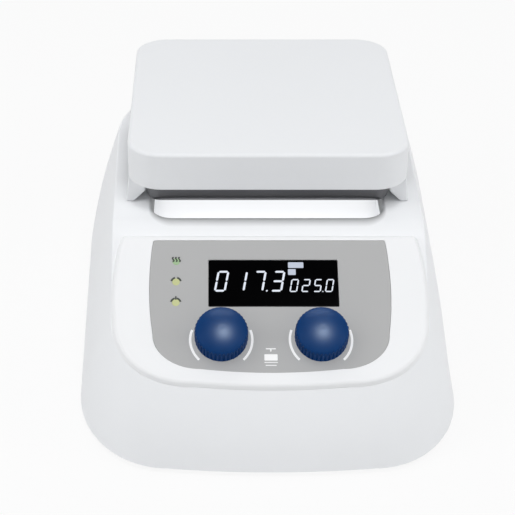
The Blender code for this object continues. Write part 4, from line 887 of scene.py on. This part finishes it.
leg = grow("support_front_right", [
    leg_ring(LEG_LOW, EASE), leg_ring(LEG_LOW + EASE), leg_ring(LEG_LOW + LEG_KNEE - EASE),
    leg_ring(LEG_LOW + LEG_KNEE + EASE), leg_ring(LEG_HIGH - EASE), leg_ring(LEG_HIGH, EASE)])
combine(leg, [rod(LEG_BOSS, LEG_LOW, LEG_HIGH, *BOLT_PLACE, 40)], "UNION")
combine(leg, [rod(BOLT_HOLE, LEG_LOW - EASE, LEG_HIGH + EASE, *BOLT_PLACE, 40)])
half_turn = (Matrix.Translation((0.0, SUPPORT_YS[0], 0.0)) @ Matrix.Rotation(math.pi, 4, "Z")
             @ Matrix.Translation((0.0, -SUPPORT_YS[0], 0.0)))
backwards = Matrix.Translation((0.0, SUPPORT_YS[1] - SUPPORT_YS[0], 0.0))
legs = {"front_right": leg}
for place, way in (
    ("rear_right", backwards), ("rear_left", backwards @ half_turn), ("front_left", half_turn),
):
    legs[place] = copied(leg, f"support_{place}", way)
for place, piece in legs.items():
    dress(piece, "housing", "supports", f"plate_support_{place}")

# %% [markdown]
# ## The console: pad, printed sheet and window
# A raised pad follows the console's U shape. Its top is one ring of faces between the rounded
# edge and a shallow pocket, and the grey sheet lies in that pocket. Both take the same
# function for their outline, so the pocket fits the sheet.

# %% Console pad
SEAT, CUT_LOW, CUT_HIGH = 0.0003, -0.0024, 0.0051
PAD = dict(top=0.0090, bottom=0.0953, half_top=0.0776, wide=(0.0812, 0.046), low=(0.0804, 0.057),
           corner_x=0.0416, bow=0.0018, power=2.2, top_corner=0.0025)
SHEET = dict(top=0.0122, bottom=0.0876, half_top=0.0609, wide=(0.0624, 0.039),
             low=(0.0602, 0.0665), corner_x=0.0242, bow=0.0021, power=2.0, top_corner=0.0010)
PAD_TOP, PAD_ROUND, PAD_TURN, PAD_STEPS, PAD_SPLAY = 0.0027, 0.0022, math.radians(60), 6, 0.0009
POCKET_FLOOR, POCKET_GAP = 0.0018, 0.0001
BELOW_WIDEST, ABOVE_WIDEST = (0.75, 0.5, 0.25, 0.0), (0.2, 0.4, 0.6, 0.8)


def pad_outline(form, z, inset=0.0):
    """A U-shaped outline on the console; y runs up the slope."""
    top, corner_x, corner = form["top"], form["corner_x"], form["top_corner"]
    (half_wide, wide_at), (half_low, low_at) = form["wide"], form["low"]
    corner_y = form["bottom"] - form["bow"] - low_at
    start_x = half_low - corner_x
    half = bowed_front(start_x, -form["bottom"] + inset, form["bow"])
    for i in range(FRONT_TURN + 1):
        turn = math.pi / 2 * i / FRONT_TURN
        x, y = math.sin(turn) ** (2 / form["power"]), math.cos(turn) ** (2 / form["power"])
        half.append((start_x + (corner_x - inset) * x, -low_at - (corner_y - inset) * y))
    sides = ((low_at, half_low, BELOW_WIDEST), (top, form["half_top"], ABOVE_WIDEST))
    for edge, narrow, shares in sides:
        for away in shares:
            width = half_wide + (narrow - half_wide) * away ** 2
            half.append((width - inset, -wide_at - (edge - wide_at) * away))
    half += arc(form["half_top"] - corner, -top - corner, corner - inset, corner - inset, 0, 90, 5)
    half.append((0.0, -top - inset))
    return [(x, y, z) for x, y in mirrored(half)]


rings = [pad_outline(PAD, 0.0, -PAD_SPLAY)]
for i in range(PAD_STEPS + 1):
    turn = PAD_TURN * (1 - i / PAD_STEPS)
    rings.append(pad_outline(PAD, PAD_TOP - PAD_ROUND * (1 - math.cos(turn)),
                             PAD_ROUND * (math.sin(PAD_TURN) - math.sin(turn))))
rings += [pad_outline(SHEET, z, -POCKET_GAP) for z in (PAD_TOP, POCKET_FLOOR)]
pad = grow("console_pad", placed(CONSOLE, rings))
combine(pad, console_tools(CUT_LOW, CUT_HIGH, FIT))
dress(pad, "housing", "bezel", "console_bezel")

# %% Grey sheet and black window
SHEET_LOW, SHEET_TOP, SHEET_EASE = 0.0021, 0.0026, 0.00015
PANE_EDGE = ((0.0002, 0.0), (0.00006, 0.00006), (0.0, 0.0002))  # how far down, and how far in

sheet = grow("printed_sheet", placed(CONSOLE, [
    pad_outline(SHEET, SHEET_LOW), pad_outline(SHEET, SHEET_TOP - SHEET_EASE),
    pad_outline(SHEET, SHEET_TOP, SHEET_EASE)]))
combine(sheet, console_tools(CUT_LOW, CUT_HIGH, FIT))
dress(sheet, "housing", "panel", "panel_overlay")

edge = [window_ring(SHEET_TOP - down, inset) for down, inset in PANE_EDGE]
pane = grow("display_pane", placed(CONSOLE, [window_ring(SEAT), *edge]))
dress(pane, "housing", "window", "display_window")

# %% [markdown]
# ## The reading
# A seven-bar display makes every digit from the same bar. One bar is extruded from a six-point
# outline, then copied to the bars that each digit lights, and the whole row leans a little,
# as such digits do. The values are plain numbers, as on any stirrer that is switched on.

# %% Seven-bar digits
BARS = {"0": "abcdef", "1": "bc", "2": "abged", "3": "abgcd", "5": "afgcd", "7": "abc"}
BAR_SPOTS = {"a": (0, 2.0), "g": (0, 1.0), "d": (0, 0.0),  # side, and level in half heights
             "f": (-1, 1.5), "b": (1, 1.5), "e": (-1, 0.5), "c": (1, 0.5)}
BAR_GAP, DOT_LENGTH = 0.24, 1.1  # in strokes
LEAN = Matrix.Shear("XZ", 4, (math.tan(math.radians(10)), 0.0))
INK_RISE = 0.00005
INK = (SHEET_TOP - INK_RISE, SHEET_TOP + INK_RISE)


def bar(length, stroke):
    """A flat bar with pointed ends."""
    half, tip = length / 2, stroke / 2
    outline = [(-half, 0.0), (-half + tip, -tip), (half - tip, -tip),
               (half, 0.0), (half - tip, tip), (-half + tip, tip)]
    return grow("bar", [[(x, y, z) for x, y in outline] for z in INK])


def reading(name, text, left, base, width, height, stroke, pitch):
    """A row of digits whose lower left corner is at (left, base) on the console."""
    span, rise, half = width - stroke, (height - stroke) / 2, stroke / 2
    across, upright = [bar(length - stroke * BAR_GAP, stroke) for length in (span, rise)]
    upright.data.transform(Matrix.Rotation(math.pi / 2, 4, "Z"))
    bars, x = [], width / 2
    for sign in text:
        if sign == ".":
            bars.append(bar(stroke * DOT_LENGTH, stroke))
            bars[-1].data.transform(Matrix.Translation((x - pitch / 2, half, 0.0)))
            continue
        for side, level in (BAR_SPOTS[letter] for letter in BARS[sign]):
            spot = Matrix.Translation((x + side * span / 2, half + rise * level, 0.0))
            bars.append(copied(upright if side else across, "bar", spot))
        x += pitch
    for start in (across, upright):
        bpy.data.objects.remove(start, do_unlink=True)
    row = joined(name, bars)
    row.data.transform(CONSOLE @ Matrix.Translation((left, base, 0.0)) @ LEAN)
    return dress(row, "housing", "window", look="digit_glow", angle=20)


reading("main_reading", "017.3", -0.0291, -0.0422, 0.0061, 0.0121, 0.00108, 0.00971)
reading("small_reading", "025.0", 0.0099, -0.0424, 0.0040, 0.0075, 0.00068, 0.0061)

# %% [markdown]
# Beside the small digits the display lights two little fields. Their place is kept and they
# stay blank.

# %% Blank fields on the display
def flat_mark(name, outlines, look, slot, levels=INK):
    """Flat marks, each from its own outline, joined into one piece."""
    parts = [grow("mark", placed(CONSOLE, [[(x, y, z) for x, y in outline] for z in levels]))
             for outline in outlines]
    return dress(joined(name, parts), "housing", slot, look=look, angle=20)


def field(x0, x1, t0, t1, corner=0.0004):
    """A rounded field between two depths down the console."""
    ring = rounded((x1 - x0) / 2, (t1 - t0) / 2, corner, 0.0, (x0 + x1) / 2, -(t0 + t1) / 2, 3)
    return [(x, y) for x, y, _ in ring]


flat_mark("display_fields", [
    field(0.0096, 0.0176, 0.0251, 0.0284), field(0.0095, 0.0135, 0.0291, 0.0325),
], "field_glow", "window")

# %% [markdown]
# ## Printing on the sheet
# A white scale arc stands on each side of a knob, and a small sign between the knobs. Ink has
# a thickness, if a tiny one, so each print is a raised outline.

# %% Scale arcs and the sign between the knobs
ARC_RADIUS, ARC_STROKE, ARC_STEPS, ARC_ENDS = 0.0164, 0.00125, 16, ((160, 225), (-45, 20))


def arc_print(x, y, radius, stroke, start, end):
    """A stretch of a ring, as one outline."""
    outer = arc(x, y, radius, radius, start, end, ARC_STEPS)
    return outer + arc(x, y, radius - stroke, radius - stroke, end, start, ARC_STEPS)


flat_mark("scale_arcs", [arc_print(*knob, ARC_RADIUS, ARC_STROKE, *ends)
                         for knob in KNOBS for ends in ARC_ENDS], "ink_white", "panel")
flat_mark("plate_sign", [
    field(-0.0036, 0.0031, 0.0775, 0.0810, 0.0003), field(-0.0028, 0.0023, 0.0742, 0.0748, 0.0002),
    field(-0.0006, 0.0001, 0.0746, 0.0760, 0.0002), field(-0.0036, 0.0031, 0.0818, 0.0822, 0.0001),
    field(-0.0030, 0.0025, 0.0834, 0.0838, 0.0001),
], "ink_white", "panel")

# %% [markdown]
# ## The lamps
# Three small lenses look out of the sheet. A lens is turned: a stem in its hole, a thin flange
# on the sheet and a flat face that the light fills. One ring of points, grown along the stem
# and out over the flange, gives the first, and the others are copies. Dark marks are printed
# over them: three waves for heat, a circling stroke for stirring, a switch sign for power.

# %% Lamp lenses and their marks
LENS_RADIUS, LENS_LOW, LENS_TOP, LENS_SEAT = 0.0020, -0.0098, 0.00276, SHEET_TOP + 0.00002
LENS_SIDE = ((LAMP_RADIUS, LENS_LOW), (LAMP_RADIUS, LENS_SEAT), (LENS_RADIUS, LENS_SEAT),
             (LENS_RADIUS, LENS_TOP - 0.00008), (LENS_RADIUS - 0.0001, LENS_TOP - 0.00002),
             (LENS_RADIUS - 0.0003, LENS_TOP))
WAVE_STROKE, WAVE_SWING, WAVE_RISE, WAVE_STEPS, WAVE_PITCH = 0.0009, 0.00035, 0.0030, 12, 0.0016
WAVE_DROP = 0.0003
SIGN_RADIUS, SIGN_STROKE, SIGN_ENDS = 0.0029, 0.0010, ((12, 76), (104, 168))
BAR_HALF, BAR_FAR, BAR_NEAR = 0.0004, 0.0036, 0.0016

lenses = {"heat": grow("heat_lens", placed(CONSOLE @ Matrix.Translation((*LAMPS["heat"], 0.0)),
                                           [circle(r, z) for r, z in LENS_SIDE]))}
for name in ("stir", "power"):
    step = Vector((*LAMPS[name], 0.0)) - Vector((*LAMPS["heat"], 0.0))
    lenses[name] = copied(lenses["heat"], f"{name}_lens",
                          Matrix.Translation(CONSOLE.to_3x3() @ step))
for name, lens in lenses.items():
    dress(lens, "housing", "lamp_green" if name == "heat" else "lamp_amber", f"{name}_lamp")


def wave_print(x, y):
    """An upright wavy stroke."""
    shares = [i / WAVE_STEPS for i in range(WAVE_STEPS + 1)]
    middle = [(x + WAVE_SWING * math.sin(2 * math.pi * share), y + WAVE_RISE * share)
              for share in shares]
    return ([(mx + WAVE_STROKE / 2, my) for mx, my in middle]
            + [(mx - WAVE_STROKE / 2, my) for mx, my in reversed(middle)])


(heat_x, heat_y), (power_x, power_y) = LAMPS["heat"], LAMPS["power"]
marks = [wave_print(heat_x + dx, heat_y - WAVE_DROP) for dx in (-WAVE_PITCH, 0.0, WAVE_PITCH)]
marks += [arc_print(*LAMPS[name], SIGN_RADIUS, SIGN_STROKE, *ends)
          for name in ("stir", "power") for ends in SIGN_ENDS]
marks.append(field(power_x - BAR_HALF, power_x + BAR_HALF,
                   -power_y - BAR_FAR, -power_y - BAR_NEAR, 0.0002))
flat_mark("lamp_marks", marks, "ink_dark", "panel", (INK[0], LENS_TOP + INK_RISE))

# %% [markdown]
# ## The knobs
# Moulded knobs with a domed crown, a round shoulder and ribs that run up over the shoulder and
# fade where the crown begins. A ring with six points for each rib is extruded from the bore
# outwards, up the barrel and over the top in small steps. The right knob is a copy of the left.
# Light from all round leaves no shadow of them on the sheet, so they cast none, and they are
# the only pieces that the gleam boxes light.

# %% Knobs
KNOB_RADIUS, KNOB_LOW, KNOB_TOP, SHOULDER, CROWN = 0.0136, 0.0042, 0.0182, 0.00345, 0.022
RECESS, RECESS_DEPTH, BORE, BORE_FLAT, BORE_ROOF = 0.0085, 0.0055, 0.0030, 0.0021, 0.0019
RECESS_EASE, BARREL_LOW = 0.0003, ((0.0012, 0.0), (0.0006, 0.0004), (0.0002, 0.0014))
RIBS, RIB_DEPTH, RIB_START, RIB_SHAPE = 40, 0.0010, 0.0018, (0.0, 0.0, 0.4, 1.0, 1.0, 0.4)
KNOB_POINTS = RIBS * len(RIB_SHAPE)
SHOULDER_STEPS, FADE_STEPS, CROWN_STEPS = 12, 8, 13


def knob_ring(radius, z, depth=0.0, flat=None):
    """A ring about the knob's axis, with grooves of this depth between its ribs."""
    points = []
    for i in range(KNOB_POINTS):
        angle = 2 * math.pi * i / KNOB_POINTS
        reach = radius - depth * RIB_SHAPE[i % len(RIB_SHAPE)]
        x, y = reach * math.cos(angle), reach * math.sin(angle)
        points.append((x if flat is None else min(x, flat), y, z))
    return points


roof = KNOB_LOW + RECESS_DEPTH
reach = KNOB_RADIUS - SHOULDER
lean = math.asin(reach / (CROWN - SHOULDER))
shoulder_z = KNOB_TOP - CROWN + (CROWN - SHOULDER) * math.cos(lean)
rings = [knob_ring(BORE, z, flat=BORE_FLAT) for z in (KNOB_TOP - BORE_ROOF, roof)]
rings += [knob_ring(RECESS, roof), knob_ring(RECESS, KNOB_LOW + RECESS_EASE),
          knob_ring(RECESS + RECESS_EASE, KNOB_LOW)]
rings += [knob_ring(KNOB_RADIUS - inset, KNOB_LOW + rise) for inset, rise in BARREL_LOW]
rings.append(knob_ring(KNOB_RADIUS, KNOB_LOW + RIB_START, RIB_DEPTH))
for i in range(SHOULDER_STEPS + 1):
    turn = math.pi / 2 + (lean - math.pi / 2) * i / SHOULDER_STEPS
    rings.append(knob_ring(reach + SHOULDER * math.sin(turn),
                           shoulder_z + SHOULDER * math.cos(turn),
                           RIB_DEPTH * max(0.0, 1 - i / FADE_STEPS)))
for i in range(1, CROWN_STEPS):
    turn = lean * (1 - i / CROWN_STEPS)
    rings.append(knob_ring(CROWN * math.sin(turn), KNOB_TOP - CROWN * (1 - math.cos(turn))))
left_dial = grow("left_dial", placed(CONSOLE @ Matrix.Translation((*KNOBS[0], 0.0)), rings))
step = Matrix.Translation((KNOBS[1][0] - KNOBS[0][0], 0.0, 0.0))
right_dial = copied(left_dial, "right_dial", step)
for side, dial in (("left", left_dial), ("right", right_dial)):
    dress(dial, f"{side}_control", "knob", f"{side}_knob", angle=50)
    dial_light.objects.link(dial)
    dial.visible_shadow = False

# %% [markdown]
# ## The power entry on the rear wall
# A bought-in fitting: one moulded body holds the inlet for the lead, the fuse drawer and the
# switch. The body grows out of the wall and over its flange, whose edge is rounded. Its three
# hollows are cut as solids, each with a wider mouth, and the metal blades are their own piece.

# %% Power entry body and blades
FACE, FACE_ROUND, ENTRY_BACK = 0.0021, 0.0008, -0.0165
FLANGE_X, FLANGE_Y, FLANGE_CORNER = 0.017, 0.032, 0.003
INLET_X, INLET_Y, INLET_CUT, INLET_AT, INLET_BACK = 0.012, 0.00825, 0.005, -0.017, -0.0124
DRAWER_AT, SWITCH_AT, SMALL_CORNER = 0.0005, 0.0175, 0.0004
BAYS = ((0.0108, 0.0038, DRAWER_AT, -0.0137), (0.0103, 0.00764, SWITCH_AT, -0.0099))
MOUTH_EASE, MOUTH_WIDER, MOUTH_OUT = 0.0004, 0.0003, 0.004
BLADES = ((-0.007, -0.019), (0.0, -0.015), (0.007, -0.019))
BLADE_LEVELS = ((0.001, 0.002, 0.0003, -0.0130), (0.001, 0.002, 0.0003, -0.0032),
                (0.0006, 0.0015, 0.0002, -0.0024))


def flange_ring(inset, z):
    """The flange's outline."""
    return rounded(FLANGE_X - inset, FLANGE_Y - inset, FLANGE_CORNER - inset, z, steps=5)


def inlet_ring(z, wider):
    """The inlet's outline: a rectangle whose upper corners are cut off."""
    half_x, half_y, cut = INLET_X + wider, INLET_Y + wider, INLET_CUT
    corners = [(half_x, -half_y), (half_x, half_y - cut), (half_x - cut, half_y),
               (cut - half_x, half_y), (-half_x, half_y - cut), (-half_x, -half_y)]
    return [(x, y + INLET_AT, z) for x, y in corners]


def mouth(ring, low):
    """A cutter that widens just under the face."""
    levels = ((low, 0.0), (FACE - MOUTH_EASE, 0.0),
              (FACE, MOUTH_WIDER), (FACE + MOUTH_OUT, MOUTH_WIDER))
    return grow("tool", placed(REAR, [ring(z, wider) for z, wider in levels]))


def bay_cutter(half_x, half_y, y, low):
    """The cutter for a square bay."""
    def ring(z, wider):
        return rounded(half_x + wider, half_y + wider, SMALL_CORNER, z, 0.0, y, 3)

    return mouth(ring, low)


rings = [rounded(*ENTRY_HALF, ENTRY_CORNER, z, steps=5) for z in (ENTRY_BACK, SEAT)]
rings += [flange_ring(0.0, SEAT), *eased(flange_ring, FACE, FACE_ROUND, 5)]
entry = grow("power_entry", placed(REAR, rings))
combine(entry, [mouth(inlet_ring, INLET_BACK)] + [bay_cutter(*bay) for bay in BAYS])
dress(entry, "housing", "black_plastic", "mains_inlet")
blades = [grow("blade", placed(REAR, [rounded(*level, x, y, 3) for level in BLADE_LEVELS]))
          for x, y in BLADES]
dress(joined("inlet_blades", blades), "housing", "steel")

# %% [markdown]
# The drawer slides out of the body with its fuse, and the switch rocks on its belly. The drawer
# is a block with eased front edges, a pocket for the fuse and a notch for a fingernail. The
# rocker keeps one outline from side to side: a dished top and a round belly, slightly smaller
# at both ends. Its two marks are the usual bar and ring.

# %% Fuse drawer
DRAWER_LEVELS = ((0.0105, 0.0035, -0.0134), (0.0105, 0.0035, 0.0031), (0.0103, 0.0033, 0.00345),
                 (0.0100, 0.0030, 0.0036))
POCKET = (0.0085, 0.0035, SMALL_CORNER, -0.01065, -0.00065, 0.0, 0.003)
NOTCH_LEVELS = ((0.0040, 0.0007, 0.0005, 0.0030), (0.0045, 0.0011, 0.0009, 0.0040))
NOTCH_AT = -0.0010

drawer = grow("fuse_slide", placed(REAR, [
    rounded(half_x, half_y, SMALL_CORNER, z, 0.0, DRAWER_AT, 4)
    for half_x, half_y, z in DRAWER_LEVELS]))
notch = grow("tool", placed(REAR, [rounded(*level, 0.0, NOTCH_AT, 4) for level in NOTCH_LEVELS]))
combine(drawer, [block(*POCKET, at=REAR), notch])
dress(drawer, "drawer", "black_plastic", "fuse_drawer")

# %% Rocker and its marks
ROCKER = (REAR @ Matrix.Translation((0.0, SWITCH_AT, 0.0009))
          @ Matrix.Rotation(math.radians(-10), 4, "X"))
DISH = ((0.0065, 0.0034), (0.0045, 0.0026), (0.0022, 0.0019), (0.0, 0.0016))
BELLY = 0.0052
ROCKER_END = ((0.0100, 0.95), (0.0097, 0.985), (0.0092, 1.0))  # how far out, and how large
MARK_AT, MARK_RISE = 0.0038, 0.0024
RING_SECTION = ((0.0014, -INK_RISE), (0.0014, INK_RISE), (0.0009, INK_RISE), (0.0009, -INK_RISE))

side = [(-DISH[0][0], 0.0), *arc(0.0, 0.0, BELLY, BELLY, 180, 360, 14), (DISH[0][0], 0.0),
        *DISH, *[(-y, z) for y, z in DISH[-2::-1]]]
ends = [(-x, share) for x, share in ROCKER_END] + list(reversed(ROCKER_END))
rocker = grow("rocker_key", placed(ROCKER, [
    [(x, y * share, z * share) for y, z in side] for x, share in ends]))
dress(rocker, "rocker", "black_plastic", "switch_rocker", angle=40)

tilt = math.atan2(DISH[1][1] - DISH[2][1], DISH[1][0] - DISH[2][0])
upper, lower = [ROCKER @ Matrix.Translation((0.0, way * MARK_AT, MARK_RISE))
                @ Matrix.Rotation(way * tilt, 4, "X") for way in (1, -1)]
on_bar = block(0.0004, 0.0014, 0.0002, -INK_RISE, INK_RISE, at=upper)
off_ring = grow("mark", placed(lower, [circle(r, z) for r, z in RING_SECTION]), closed=True)
dress(joined("switch_marks", [on_bar, off_ring]), "rocker", "black_plastic",
      look="ink_white", angle=20)

# %% [markdown]
# ## Feet and base screws
# Rubber feet are moulded as thick washers with a rounded tread and a recess that hides the
# screw. Their ring of edges goes once round the washer's section. The screws are turned, with
# a cross cut into the head. Each is made once, and copied to the other three places. The first
# is dressed last, so that its copies start bare.

# %% Feet and base screws
FOOT_SECTION = (
    (0.00175, 0.0032), (0.0077, 0.0032), (0.0080, 0.0029), (0.0080, 0.0012), (0.0077, 0.0005),
    (0.0071, 0.0001), (0.0066, 0.0), (0.0059, 0.0), (0.0057, 0.0004), (0.0053, 0.0004),
    (0.0051, 0.0), (0.0040, 0.0), (0.0035, 0.0005), (0.0035, 0.0028), (0.00175, 0.0028),
)
SCREW_SIDE = ((0.0020, 0.0011), (0.0026, 0.0012), (0.0030, 0.0016), (0.0030, 0.0025),
              (0.0014, 0.0025), (0.0014, 0.0172), (0.0008, 0.0180))
CROSS_LONG, CROSS_WIDE, CROSS_CORNER = 0.0017, 0.00035, 0.0001
CROSS_LOW, CROSS_HIGH = 0.0005, 0.0019
PLACES = dict(zip(("front_left", "rear_left", "front_right", "rear_right"), BOSSES))

first = PLACES["front_left"]
foot = grow("rubber_front_left", [circle(r, z, *first, 48) for r, z in FOOT_SECTION], closed=True)
screw = grow("screw_front_left", [circle(r, z, *first) for r, z in SCREW_SIDE])
cross = [block(*size, CROSS_CORNER, CROSS_LOW, CROSS_HIGH, *first, 2)
         for size in ((CROSS_LONG, CROSS_WIDE), (CROSS_WIDE, CROSS_LONG))]
for cutter in cross:
    combine(screw, [cutter])
for place, (x, y) in reversed(PLACES.items()):
    step = Matrix.Translation((x - first[0], y - first[1], 0.0))
    rubber = foot if place == "front_left" else copied(foot, f"rubber_{place}", step)
    bolt = screw if place == "front_left" else copied(screw, f"screw_{place}", step)
    dress(rubber, "housing", "rubber", f"foot_{place}")
    dress(bolt, "housing", "steel", f"base_screw_{place}")

# %% [markdown]
# ## What stays CAD
# The pieces inside, and the steel pan that closes the bottom, are right as the CAD has them.
# Their solids stay, and each takes the finish of its material slot.

# %% Finishes for the carried-over nodes
kept = []
for part in frame["record"]["subparts"]:
    node = frame["nodes"][part["node"]]
    if not node.hide_render:
        node.material_slots[0].material = FINISHES[BY_SLOT[part["material_slot"]]]
        kept.append(part["node"])
print(len(kept), "nodes keep their CAD shape:", ", ".join(kept))
